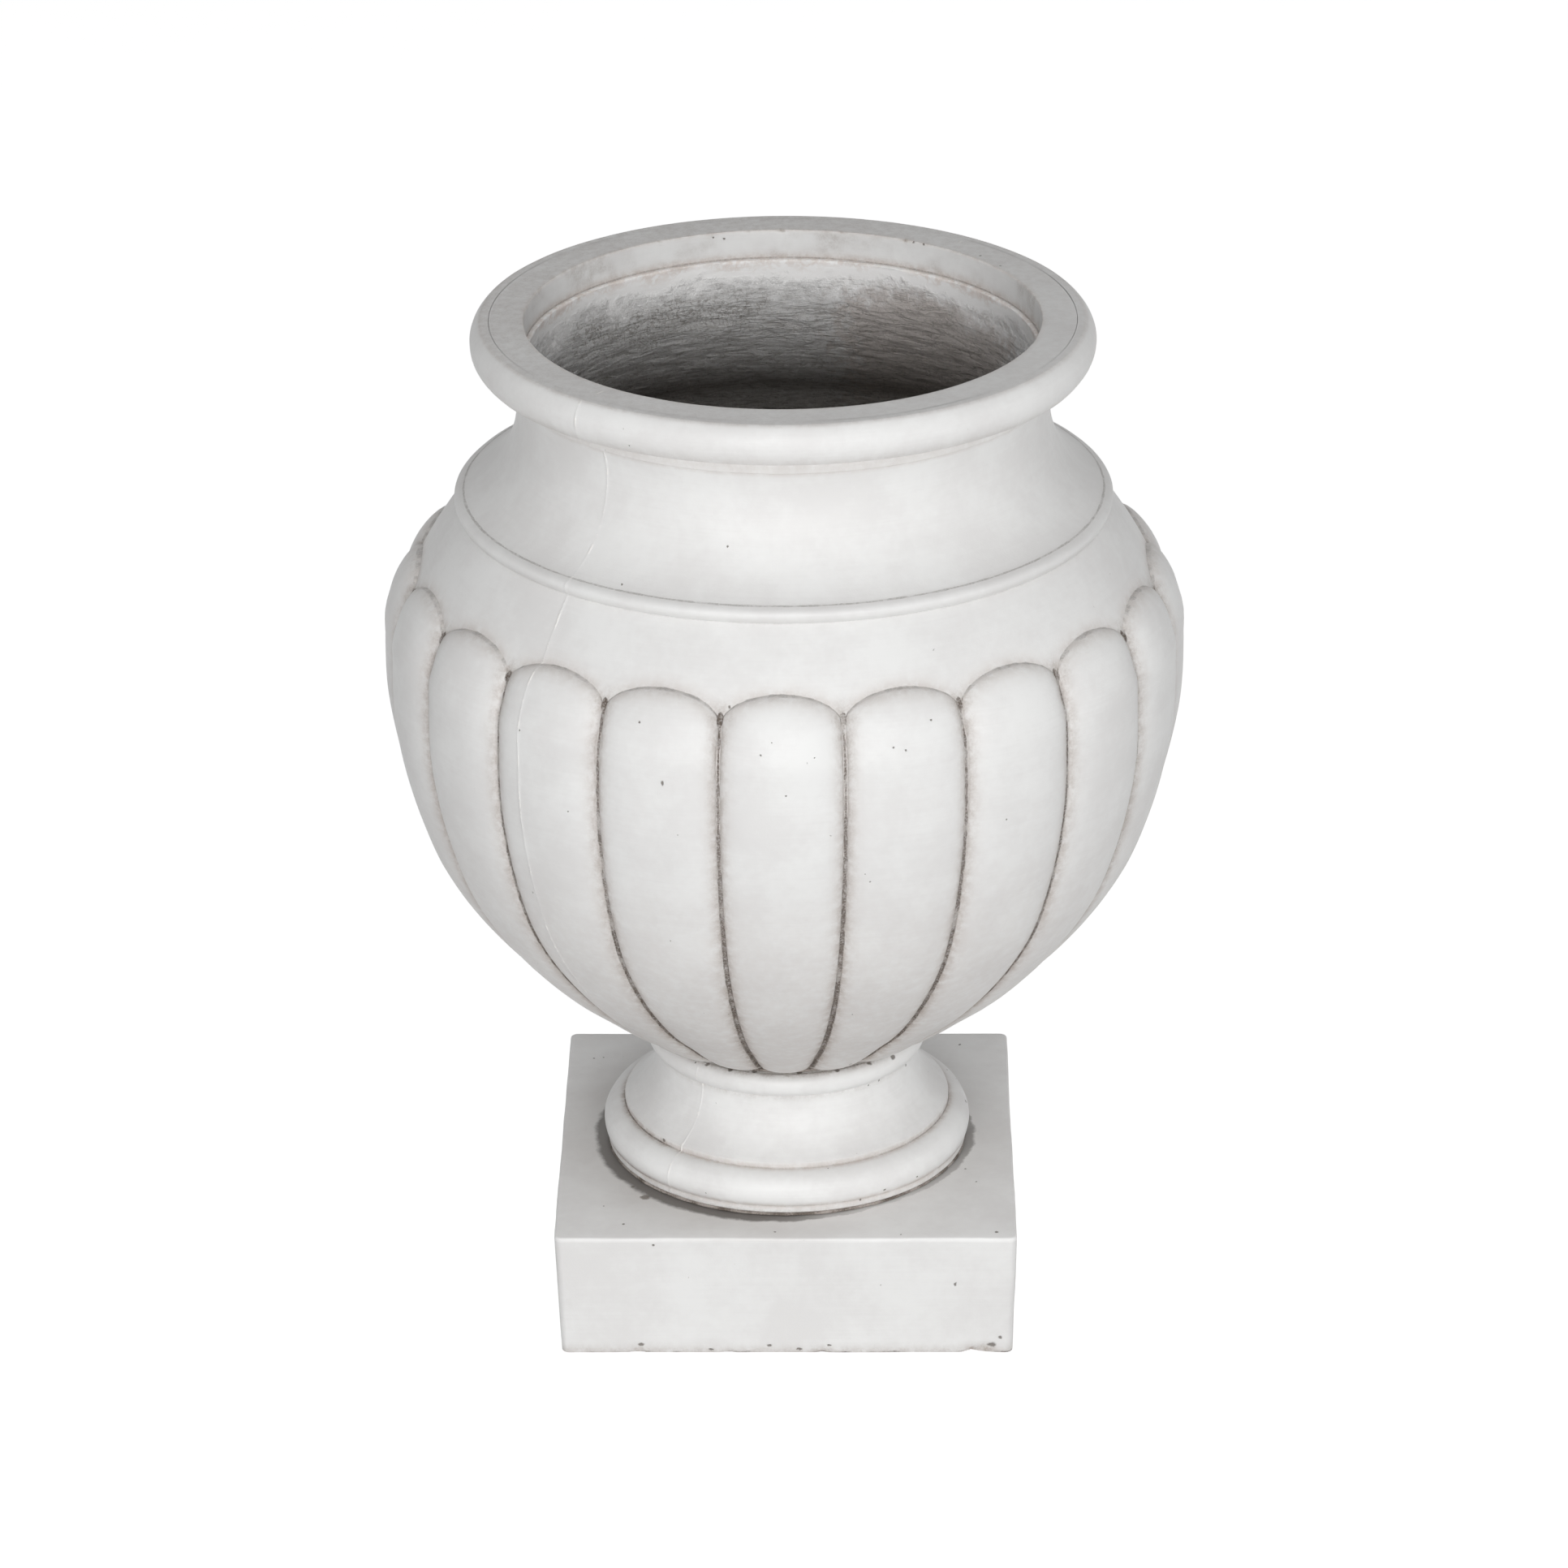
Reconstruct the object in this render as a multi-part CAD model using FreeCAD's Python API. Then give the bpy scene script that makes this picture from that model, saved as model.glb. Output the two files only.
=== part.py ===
import FreeCAD, Part
import math
import os

# Garden urn vase, hand laid in fibre cement: a gadrooned bowl on a moulded foot and a square plinth.
# Millimetres, +Z up, origin at the centre of the plinth's underside, front towards -Y.

# Plinth: a square block, open below, a little narrower at the ground
plinth_width = 300.0
plinth_height = 86.0
plinth_draft = 2.0
plinth_corner_radius = 5.0
plinth_edge_radius = 1.5
plinth_wall = 11.0
plinth_slab = 12.0
plinth_opening_radius = 82.0

# Foot: base fillet, torus, scotia and collar, one hollow turned form in two halves
foot_height = 85.0
foot_base_radius = 120.0
foot_base_height = 4.8
torus_radius = 14.0
scotia_lip_radius = 108.5
scotia_lip_height = 31.3
scotia_top_radius = 86.5
collar_radius = 93.0
collar_roll = 8.0
collar_height = 17.2
foot_wall = 11.0

# Mortar beds under the foot and under the bowl
bed_thickness = 2.2
bed_squeeze = 1.0

# Bowl: lobed belly between the seat on the foot and the shoulder
bowl_seat_radius = 86.0
belly_radius = 259.8
belly_height = 270.0
lobe_overlap = 15.7
lobe_count = 20
groove_depth = 7.8

# Shoulder, bead and neck above the belly's widest level, and the rolled rim. Each height is that
# of one form above the form below it: shoulder, bead, the neck's narrowest level, top of the rim.
shoulder_radius = 242.0
shoulder_height = 47.1
shoulder_bulge = 1.7
bead_height = 52.5
bead_depth = 10.0
bead_proud = 3.2
bead_foot_radius = 209.5
bead_top_radius = 206.3
neck_radius = 171.0
neck_height = 66.4
rim_height = 58.0
rim_edge_radius = 193.5
rim_radius = 200.0
rim_drop = 13.2
rim_soffit_radius = 194.8
rim_soffit_drop = 25.8
rim_fillet_radius = 176.0
rim_fillet_height = 13.5
mouth_radius = 165.0
ledge_depth = 20.0
lining_proud = 3.0

# Walls of the bowl
shell_wall = 6.0
lining_wall = 3.5
floor_thickness = 9.0
drain_radius = 12.0

# Parting plane of the mould: it stands near the plinth's diagonal, turned so far from the Y axis
parting_angle = -40.0

overrun = 5.0

# Cross-section of a lobe from its crown to its groove: share of the way out, share of the rise
# above the groove
lobe_shares = ((0.0, 1.0), (0.35, 0.955), (0.65, 0.785), (0.87, 0.5), (1.0, 0.0))

# Belly outline below its widest level: share of belly_height, share of the way from the seat to
# the belly radius, and share of the groove depth
belly_shares = (
    (0.0, 0.0, 0.2),
    (0.013, 0.063, 0.35),
    (0.037, 0.132, 0.5),
    (0.074, 0.216, 0.65),
    (0.126, 0.316, 0.8),
    (0.193, 0.446, 0.92),
    (0.274, 0.572, 1.0),
    (0.37, 0.696, 1.0),
    (0.504, 0.828, 1.0),
    (0.637, 0.909, 1.0),
    (0.77, 0.964, 1.0),
    (0.904, 0.996, 1.0),
    (1.0, 1.0, 1.0),
)

# The same above the widest level: share of the rise to the lobes' top, share of the way from the
# shoulder to the belly radius, and share of the groove depth. The last rows turn in under the
# shoulder, which the lobes overlap.
crown_shares = (
    (0.392, 0.9, 1.0),
    (0.551, 0.79, 1.04),
    (0.662, 0.66, 1.19),
    (0.75, 0.51, 1.25),
    (0.814, 0.385, 1.65),
    (0.87, 0.25, 2.4),
    (0.917, 0.1, 3.7),
    (0.957, -0.08, 5.5),
    (1.0, -0.56, 8.0),
)

# Share of the scotia's sweep that the hollow of the foot follows, counted down from its top
scotia_hollow_share = 0.6

# How far the top of the rim core stands in from the rim's roll, as a share of the shell's wall
core_inset_share = 1.2

# Levels of the pieces, worked out from the sizes above
foot_seat = plinth_height + bed_thickness
foot_top = foot_seat + foot_height
scotia_top = foot_top - collar_height
bowl_seat = foot_top + bed_thickness
belly_level = bowl_seat + belly_height
shoulder_level = belly_level + shoulder_height
bead_level = shoulder_level + bead_height
neck_level = bead_level + neck_height
rim_level = neck_level + rim_height
ledge_level = rim_level - ledge_depth
soffit_level = rim_level - rim_soffit_drop


def at(radius, level):
    """Point of a turned outline: distance from the axis and height."""
    return FreeCAD.Vector(radius, 0, level)


def on_circle(centre, radius, degrees):
    """Point of a turned outline on a circle of it, counted up from the outward direction."""
    angle = math.radians(degrees)
    return centre.add(at(radius * math.cos(angle), radius * math.sin(angle)))


def line(start, end):
    return Part.LineSegment(start, end).toShape()


def arc(start, middle, end):
    return Part.Arc(start, middle, end).toShape()


def curve(points):
    """Smooth curve through the points."""
    spline = Part.BSplineCurve()
    spline.interpolate(points)
    return spline.toShape()


def turned(edges):
    """Solid turned about the axis from a closed outline."""
    face = Part.Face(Part.Wire(edges))
    return face.revolve(FreeCAD.Vector(0, 0, 0), FreeCAD.Vector(0, 0, 1), 360)


def ring(inner, outer, low, high):
    """Plain turned ring of rectangular section."""
    corners = [at(inner, low), at(outer, low), at(outer, high), at(inner, high)]
    return turned([line(corners[i - 1], corners[i]) for i in range(len(corners))])


def halves(shape):
    """The front and the back half of a turned piece, each on its side of the parting plane."""
    size = 2 * (belly_radius + overrun)
    height = rim_level + 2 * overrun
    front = Part.makeBox(size, size, height, FreeCAD.Vector(0, -size / 2, -overrun))
    back = Part.makeBox(size, size, height, FreeCAD.Vector(-size, -size / 2, -overrun))
    result = []
    for block in (front, back):
        block.rotate(FreeCAD.Vector(0, 0, 0), FreeCAD.Vector(0, 0, 1), parting_angle)
        result.append(shape.common(block))
    return result


def save(name, shape):
    """Write one node, reduced to its solids."""
    solids = shape.Solids
    shape = solids[0] if len(solids) == 1 else Part.Compound(solids)
    if not shape.isValid():
        raise ValueError(name)
    shape.exportStep(f"parts/{name}.step")
    print(name, "solids", len(solids), "volume in cubic mm", round(shape.Volume))


# Plinth

def rounded_square(width, radius, level):
    """Closed outline of a level square with round corners."""
    reach = width / 2
    flat = reach - radius
    bulge = flat + radius * math.sqrt(0.5)
    edges = []
    for turn in range(4):
        start = FreeCAD.Vector(reach, -flat, level)
        end = FreeCAD.Vector(reach, flat, level)
        middle = FreeCAD.Vector(bulge, bulge, level)
        side = Part.Wire([line(start, end), arc(end, middle, FreeCAD.Vector(flat, reach, level))])
        side.rotate(FreeCAD.Vector(0, 0, 0), FreeCAD.Vector(0, 0, 1), 90 * turn)
        edges.extend(side.Edges)
    return Part.Wire(edges)


def plinth_shell():
    """Square moulding with walls and a top slab, which has a round opening under the foot."""
    foot_width = plinth_width - 2 * plinth_draft
    outer = Part.makeLoft([rounded_square(foot_width, plinth_corner_radius, 0),
                           rounded_square(plinth_width, plinth_corner_radius, plinth_height)], True, True)
    middle_level = plinth_height / 2
    rim = [edge for edge in outer.Edges if edge.BoundBox.ZMin > middle_level]
    outer = outer.makeFillet(plinth_edge_radius, rim)
    slope = plinth_draft / plinth_height
    ceiling = plinth_height - plinth_slab
    low_width = foot_width - 2 * (plinth_wall + slope * overrun)
    high_width = foot_width - 2 * (plinth_wall - slope * ceiling)
    hollow = Part.makeLoft([rounded_square(low_width, plinth_corner_radius, -overrun),
                            rounded_square(high_width, plinth_corner_radius, ceiling)], True, True)
    opening = ring(0, plinth_opening_radius, ceiling - overrun, plinth_height + overrun)
    return outer.cut(hollow).cut(opening)


# Foot

def scotia():
    """Centre, radius and sweep in degrees of the hollow moulding, which starts upright at its top."""
    run = scotia_lip_radius - scotia_top_radius
    rise = scotia_top - foot_seat - scotia_lip_height
    radius = (run ** 2 + rise ** 2) / (2 * run)
    centre = at(scotia_top_radius + radius, scotia_top)
    return centre, radius, math.degrees(math.asin(rise / radius))


def foot_outline():
    """Outer outline of the foot from its seat to its top."""
    overhang = foot_base_radius - scotia_lip_radius
    half_height = math.sqrt(torus_radius ** 2 - overhang ** 2)
    torus = at(scotia_lip_radius, foot_seat + foot_base_height + half_height)
    base = at(foot_base_radius, foot_seat)
    base_top = at(foot_base_radius, foot_seat + foot_base_height)
    torus_top = on_circle(torus, torus_radius, 90)
    lip = at(scotia_lip_radius, foot_seat + scotia_lip_height)
    centre, radius, sweep = scotia()
    scotia_end = on_circle(centre, radius, 180)
    collar = at(collar_radius - collar_roll, foot_top - collar_roll)
    drop = math.degrees(math.acos((scotia_top_radius - collar.x) / collar_roll))
    collar_low = on_circle(collar, collar_roll, -drop)
    return [line(base, base_top), arc(base_top, on_circle(torus, torus_radius, 0), torus_top),
            line(torus_top, lip), arc(lip, on_circle(centre, radius, 180 + sweep / 2), scotia_end),
            line(scotia_end, collar_low),
            arc(collar_low, on_circle(collar, collar_roll, 0), on_circle(collar, collar_roll, 90))]


def foot_body():
    """The foot without its hollow."""
    top = at(0, foot_top)
    low = at(0, foot_seat)
    collar_top = at(collar_radius - collar_roll, foot_top)
    base = at(foot_base_radius, foot_seat)
    return turned(foot_outline() + [line(collar_top, top), line(top, low), line(low, base)])


def foot_hollow(wall):
    """Room inside the foot, so far in from its outer face, and past both its ends."""
    centre, radius, sweep = scotia()
    sweep = sweep * scotia_hollow_share
    low = at(foot_base_radius - wall, foot_seat - overrun)
    base_top = at(foot_base_radius - wall, foot_seat + foot_base_height)
    start, middle, waist = [on_circle(centre, radius + wall, 180 + turn) for turn in (sweep, sweep / 2, 0)]
    top = at(waist.x, foot_top + overrun)
    axis_top = at(0, foot_top + overrun)
    axis_low = at(0, foot_seat - overrun)
    return turned([line(axis_low, low), line(low, base_top), line(base_top, start),
                   arc(start, middle, waist), line(waist, top), line(top, axis_top),
                   line(axis_top, axis_low)])


def foot_lining():
    """Fibre laminate that bridges the two halves of the foot on the inside."""
    skin = foot_hollow(foot_wall).cut(foot_hollow(foot_wall + lining_wall))
    return skin.common(ring(0, foot_base_radius, foot_seat, foot_top))


# Bowl

def lobe_levels():
    """Level, crown radius and groove radius of each row of the lobed belly, from the seat up."""
    rows = []
    for height_share, reach_share, depth_share in belly_shares:
        crown = bowl_seat_radius + reach_share * (belly_radius - bowl_seat_radius)
        rows.append((bowl_seat + height_share * belly_height, crown, crown - depth_share * groove_depth))
    for height_share, reach_share, depth_share in crown_shares:
        crown = shoulder_radius + reach_share * (belly_radius - shoulder_radius)
        level = belly_level + height_share * (shoulder_height + lobe_overlap)
        rows.append((level, crown, crown - depth_share * groove_depth))
    return rows


def lobed_section(level, crown, groove):
    """Level section of the belly: one curve per lobe, from groove to groove, a lobe at the front."""
    pitch = 2 * math.pi / lobe_count
    half = [(out, groove + rise * (crown - groove)) for out, rise in lobe_shares]
    profile = [(-out, radius) for out, radius in reversed(half[1:])] + half
    edges = []
    for lobe in range(lobe_count):
        points = []
        for out, radius in profile:
            angle = (lobe + out / 2) * pitch - math.pi / 2
            points.append(FreeCAD.Vector(radius * math.cos(angle), radius * math.sin(angle), level))
        spline = Part.BSplineCurve()
        spline.interpolate(Points=points, Parameters=[out for out, radius in profile])
        edges.append(spline.toShape())
    return Part.Wire(edges)


def lobed_belly():
    """The gadroons: lobes side by side, each rounded over at the top and drawn in at the foot."""
    return Part.makeLoft([lobed_section(*row) for row in lobe_levels()], True, False)


def shoulder_arc(inset):
    """Shoulder outline from the lobes up to the bead, so far inside the outer face."""
    low = at(shoulder_radius, shoulder_level)
    high = at(bead_foot_radius, bead_level)
    chord = high.sub(low)
    outward = FreeCAD.Vector(chord.z, 0, -chord.x).normalize()
    middle = low.add(high).multiply(0.5).add(outward * shoulder_bulge)
    return [point.sub(outward * inset) for point in (low, middle, high)]


def neck_arc(inset):
    """Neck outline from the bead up to its end under the rim, so far inside the outer face."""
    run = bead_top_radius - neck_radius
    rise = neck_level - bead_level - bead_depth
    radius = (run ** 2 + rise ** 2) / (2 * run)
    centre = at(neck_radius + radius, neck_level)
    low = math.degrees(math.asin(rise / radius))
    high = math.degrees(math.asin((soffit_level - rim_fillet_height - neck_level) / radius))
    return [on_circle(centre, radius + inset, 180 + turn) for turn in (low, (low - high) / 2, -high)]


def upper_outline():
    """Outer outline of the bowl from the foot of the shoulder to the rim's upper edge."""
    shoulder = shoulder_arc(0)
    neck = neck_arc(0)
    bead_side = at(bead_foot_radius + bead_proud, bead_level + bead_depth / 2)
    fillet_low = at(rim_fillet_radius, soffit_level - rim_fillet_height)
    fillet_top = at(rim_fillet_radius, soffit_level)
    soffit = at(rim_soffit_radius, soffit_level)
    rim_side = at(rim_radius, rim_level - rim_drop)
    rim_edge = at(rim_edge_radius, rim_level)
    return [arc(*shoulder), arc(shoulder[2], bead_side, neck[0]), arc(*neck), line(neck[2], fillet_low),
            line(fillet_low, fillet_top), line(fillet_top, soffit), arc(soffit, rim_side, rim_edge)]


def bowl_core():
    """Turned body of the bowl, which the lobes stand out from."""
    shoulder = shoulder_arc(0)
    inner = [at(groove - groove_depth / 2, level) for level, crown, groove in lobe_levels()
             if bowl_seat + floor_thickness < level < shoulder_level - 2 * overrun]
    rim_edge = at(rim_edge_radius, rim_level)
    top = at(0, rim_level)
    low = at(0, inner[0].z)
    return turned([line(low, inner[0]), curve(inner), line(inner[-1], shoulder[0])] + upper_outline()
                  + [line(rim_edge, top), line(top, low)])


def bowl_hollow(wall):
    """Room inside the bowl up to the ledge, its side so far in from the grooves."""
    rows = [at(groove, level) for level, crown, groove in lobe_levels()
            if bowl_seat + floor_thickness < level < shoulder_level - overrun]
    side = []
    for below, here, above in zip(rows, rows[1:], rows[2:]):
        run = above.sub(below)
        normal = FreeCAD.Vector(-run.z, 0, run.x).normalize()
        side.append(here.add(normal * wall))
    floor = bowl_seat + floor_thickness + wall - shell_wall
    slope = (side[1].x - side[0].x) / (side[1].z - side[0].z)
    floor_edge = at(side[0].x - slope * (side[0].z - floor), floor)
    shoulder = shoulder_arc(wall)
    neck = neck_arc(wall)
    ledge = at(mouth_radius - lining_proud + lining_wall + shell_wall - wall, ledge_level)
    floor_middle = at(0, floor)
    top = at(0, ledge_level)
    return turned([line(floor_middle, floor_edge), line(floor_edge, side[0]), curve(side + [shoulder[0]]),
                   arc(*shoulder), line(shoulder[2], neck[0]), arc(*neck), line(neck[2], ledge),
                   line(ledge, top), line(top, floor_middle)])


def rim_core():
    """Solid lip that fills the rolled rim: flat on top, with the smooth band inside the mouth."""
    low_inner = at(mouth_radius, ledge_level)
    low_outer = at(rim_soffit_radius - shell_wall, ledge_level)
    side = at(rim_radius - shell_wall * core_inset_share, rim_level - rim_drop)
    edge = at(rim_edge_radius - shell_wall, rim_level)
    top_inner = at(mouth_radius, rim_level)
    return turned([line(low_inner, low_outer), arc(low_outer, side, edge), line(edge, top_inner),
                   line(top_inner, low_inner)])


def drain():
    return ring(0, drain_radius, bowl_seat - overrun, bowl_seat + floor_thickness + lining_wall + overrun)


def bowl_shell():
    """The bowl's outer moulding, without the rim core and the room inside."""
    whole = bowl_core().fuse(lobed_belly())
    mouth = ring(0, mouth_radius, ledge_level - overrun, rim_level + overrun)
    return whole.cut(bowl_hollow(shell_wall)).cut(rim_core()).cut(mouth).cut(drain())


def bowl_lining():
    """Fibre laminate over the whole inside of the bowl, up to the ledge below the mouth."""
    return bowl_hollow(shell_wall).cut(bowl_hollow(shell_wall + lining_wall)).cut(drain())


os.makedirs("parts", exist_ok=True)
save("plinth_shell", plinth_shell())
save("foot_bed", ring(foot_base_radius - foot_wall - lining_wall, foot_base_radius + bed_squeeze,
                      plinth_height, foot_seat))
foot_front, foot_back = halves(foot_body().cut(foot_hollow(foot_wall)))
save("foot_half_front", foot_front)
save("foot_half_back", foot_back)
save("foot_lining", foot_lining())
save("bowl_bed", ring(scotia_top_radius - foot_wall - lining_wall, collar_radius - collar_roll + bed_squeeze,
                      foot_top, bowl_seat))
bowl_front, bowl_back = halves(bowl_shell())
save("bowl_half_front", bowl_front)
save("bowl_half_back", bowl_back)
save("bowl_lining", bowl_lining())
save("rim_core", rim_core())
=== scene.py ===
"""Garden urn vase: the finish and surface forms of its pieces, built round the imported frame.

Lengths are named in millimetres and turned to metres as a mesh is made. The front faces -Y.
"""
import logging
import math
from collections.abc import Callable, Sequence
from dataclasses import dataclass, field
from enum import Enum
from typing import ClassVar

import bpy
import numpy as np
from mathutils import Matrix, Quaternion, Vector, noise


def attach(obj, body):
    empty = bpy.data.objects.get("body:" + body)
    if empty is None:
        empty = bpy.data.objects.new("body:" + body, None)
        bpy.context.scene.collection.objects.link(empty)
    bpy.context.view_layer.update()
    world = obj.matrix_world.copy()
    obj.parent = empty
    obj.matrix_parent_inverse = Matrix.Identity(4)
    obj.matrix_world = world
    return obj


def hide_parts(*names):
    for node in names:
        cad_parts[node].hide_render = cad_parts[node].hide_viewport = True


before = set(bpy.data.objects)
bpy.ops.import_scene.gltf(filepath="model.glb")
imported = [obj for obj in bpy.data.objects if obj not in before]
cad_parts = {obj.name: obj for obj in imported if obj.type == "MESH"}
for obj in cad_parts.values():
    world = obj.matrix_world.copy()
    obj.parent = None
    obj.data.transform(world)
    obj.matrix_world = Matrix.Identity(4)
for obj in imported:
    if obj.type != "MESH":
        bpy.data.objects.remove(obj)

log = logging.getLogger("urn")
MM = 0.001
FAR = 50.0  # stands for the distance to a line of glaze where none is near
BODY = "root"
Outline = list[tuple[float, float]]
Array = np.ndarray
Fields = dict[str, Array]
Table = tuple[tuple[float, float], ...]
Marks = tuple[tuple[float, ...], ...]
Tree = bpy.types.NodeTree
Socket = bpy.types.NodeSocket
Piece = bpy.types.Object
Material = bpy.types.Material


class Half(Enum):
    """The two halves of the mould, each with the side of the parting plane that it keeps."""

    FRONT = 1.0
    BACK = -1.0


class Slot(Enum):
    """Material slots of the record."""

    PAINT = "painted_cement"
    LAMINATE = "fibre_laminate"
    MORTAR = "mortar"


# Curves and outlines


def straight(at: Array, table: Table) -> Array:
    """Reads a table of place and value, straight between its points."""
    return np.interp(at, *zip(*table))


def smooth(at: Array, table: Table) -> Array:
    """Reads a smooth curve through the points of a table.

    Args:
        at: Places to read the curve at.
        table: Rising places, each with its value.

    Returns:
        The curve's values, held at the end values outside the table.
    """
    x, y = (np.array(column, float) for column in zip(*table))
    steps = np.diff(x)
    rises = np.diff(y) / steps
    slope = np.empty_like(y)
    slope[1:-1] = (rises[:-1] * steps[1:] + rises[1:] * steps[:-1]) / (steps[:-1] + steps[1:])
    slope[0], slope[-1] = rises[0], rises[-1]
    u = np.clip(np.asarray(at, float), x[0], x[-1])
    i = np.clip(np.searchsorted(x, u, side="right") - 1, 0, len(steps) - 1)
    h = steps[i]
    s = (u - x[i]) / h
    start = y[i] * (1 + 2 * s) * (1 - s) ** 2 + slope[i] * h * s * (1 - s) ** 2
    end = y[i + 1] * s * s * (3 - 2 * s) + slope[i + 1] * h * s * s * (s - 1)
    return start + end


def ease(low: float, high: float, value: Array) -> Array:
    """Rises smoothly from 0 to 1 as the value goes from low to high."""
    s = np.clip((value - low) / (high - low), 0, 1)
    return s * s * (3 - 2 * s)


def arc(centre: tuple[float, float], radius: float, start: float, end: float, steps: int) -> Outline:
    """Points of a circular arc in an outline.

    Args:
        centre: Distance from the axis and level of the arc's centre.
        radius: Radius of the arc.
        start: First angle in degrees, counted up from the outward direction.
        end: Last angle in degrees.
        steps: Number of steps from the first point to the last.

    Returns:
        The points, both ends included.
    """
    turns = [math.radians(start + (end - start) * i / steps) for i in range(steps + 1)]
    return [(centre[0] + radius * math.cos(a), centre[1] + radius * math.sin(a)) for a in turns]


def arc_through(low: tuple[float, float], high: tuple[float, float], bulge: float, steps: int) -> Outline:
    """Points of a shallow arc between two points, which stands out so far in its middle.

    Args:
        low: Lower end.
        high: Upper end.
        bulge: Height of the arc over its chord, outwards from the axis.
        steps: Number of steps.

    Returns:
        The points, both ends included.
    """
    run, rise = high[0] - low[0], high[1] - low[1]
    length = math.hypot(run, rise)
    out = (rise / length, -run / length)
    shares = [i / steps for i in range(steps + 1)]
    lift = [4 * bulge * s * (1 - s) for s in shares]
    return [(low[0] + run * s + out[0] * h, low[1] + rise * s + out[1] * h) for s, h in zip(shares, lift)]


# Modelling by hand-like steps


def switch(mode: str) -> None:
    """Switches the active piece to object or edit mode."""
    bpy.ops.object.mode_set(mode=mode)


def deselect() -> None:
    """Leaves nothing selected, in object mode."""
    if bpy.context.object is not None and bpy.context.object.mode != "OBJECT":
        switch("OBJECT")
    bpy.ops.object.select_all(action="DESELECT")


def take(piece: Piece) -> None:
    """Selects one piece alone and makes it the active one."""
    deselect()
    piece.select_set(True)
    bpy.context.view_layer.objects.active = piece


def copy_of(whole: Piece, name: str) -> Piece:
    """Copies a piece under a new name."""
    take(whole)
    bpy.ops.object.duplicate()
    piece = bpy.context.object
    piece.name = piece.data.name = name
    return piece


def edit(piece: Piece, mode: str = "VERT") -> None:
    """Takes a piece for editing in one select mode, with nothing of it selected."""
    take(piece)
    switch("EDIT")
    bpy.ops.mesh.select_mode(type=mode)
    bpy.ops.mesh.select_all(action="DESELECT")
    switch("OBJECT")


def open_whole(piece: Piece) -> None:
    """Opens a piece for editing with all of it selected."""
    edit(piece)
    switch("EDIT")
    bpy.ops.mesh.select_all(action="SELECT")


def pick(piece: Piece, elements: str, wanted: Callable) -> None:
    """Selects the vertices, edges or polygons that pass a test of place or normal, and opens the piece.

    Args:
        piece: The piece to select on.
        elements: Name of the mesh's collection.
        wanted: Test of one element.
    """
    for element in getattr(piece.data, elements):
        element.select = bool(wanted(element))
    switch("EDIT")


def places(piece: Piece) -> Array:
    """Vertex places of a piece in millimetres, one row each."""
    co = np.empty(len(piece.data.vertices) * 3, np.float32)
    piece.data.vertices.foreach_get("co", co)
    return co.reshape(-1, 3).astype(float) / MM


def place(piece: Piece, points: Array) -> None:
    """Puts a piece's vertices at the given places in millimetres."""
    piece.data.vertices.foreach_set("co", (points * MM).astype(np.float32).ravel())
    piece.data.update()


def tidy_surface(piece: Piece, merge: float = 0.004) -> None:
    """Merges vertices that are closer than so many millimetres, and turns every face outwards."""
    open_whole(piece)
    bpy.ops.mesh.remove_doubles(threshold=merge * MM)
    bpy.ops.mesh.normals_make_consistent(inside=False)
    switch("OBJECT")


def turn(name: str, outline: Outline, steps: int, closed: bool = True) -> Piece:
    """Turns an outline about the urn's axis, as on a running mould.

    Args:
        name: Name of the new piece.
        outline: Distances from the axis and levels, in millimetres.
        steps: Number of steps round the axis.
        closed: Whether the outline's last point joins its first.

    Returns:
        The turned piece.
    """
    deselect()
    bpy.ops.mesh.primitive_circle_add(vertices=len(outline), radius=1.0)
    piece = bpy.context.object
    piece.name = piece.data.name = name
    place(piece, np.array([(radius, 0.0, level) for radius, level in outline]))
    edit(piece, "EDGE")
    if not closed:
        ends = {0, len(outline) - 1}
        pick(piece, "edges", lambda edge: set(edge.vertices) == ends)
        bpy.ops.mesh.delete(type="EDGE")
    switch("EDIT")
    bpy.ops.mesh.select_all(action="SELECT")
    bpy.ops.mesh.spin(steps=steps, angle=2 * math.pi, center=(0, 0, 0), axis=(0, 0, 1), use_auto_merge=True)
    switch("OBJECT")
    tidy_surface(piece)
    return piece


def cut_half(piece: Piece, half: Half, azimuth: float, lip: float = 0.0) -> None:
    """Cuts a closed ring at the parting plane, keeps one half and closes the cut.

    Args:
        piece: The whole ring.
        half: The half to keep.
        azimuth: Turn of the parting plane from the Y axis in degrees.
        lip: Distance in millimetres from the plane to an added row of edges beside it.
    """
    turned = math.radians(azimuth)
    normal = Vector((math.cos(turned), math.sin(turned), 0)) * half.value
    open_whole(piece)
    bpy.ops.mesh.bisect(plane_co=(0, 0, 0), plane_no=normal, use_fill=True, clear_inner=True)
    if lip:
        bpy.ops.mesh.select_all(action="SELECT")
        bpy.ops.mesh.bisect(plane_co=normal * lip * MM, plane_no=normal)
    switch("OBJECT")


def round_over(piece: Piece, degrees: float = 38.0) -> None:
    """Shades a piece smooth, except over edges sharper than the angle."""
    take(piece)
    bpy.ops.object.shade_smooth_by_angle(angle=math.radians(degrees))


def hand_wave(points: Array, depth: float, length: float, seed: float) -> Array:
    """Unevenness of a hand-laid surface, worked out from the place alone, so that neighbours agree.

    Args:
        points: Places in millimetres.
        depth: Largest depth in millimetres.
        length: Length of the waves in millimetres.
        seed: Shift of the pattern.

    Returns:
        How far each place lies inwards, from 0 to the depth.
    """
    shift = Vector((seed, -seed, 2 * seed))
    values = [noise.fractal(Vector(p / length) + shift, 1.0, 2.0, 3) for p in points]
    return depth * np.clip(0.5 + 0.6 * np.array(values), 0, 1)


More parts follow.
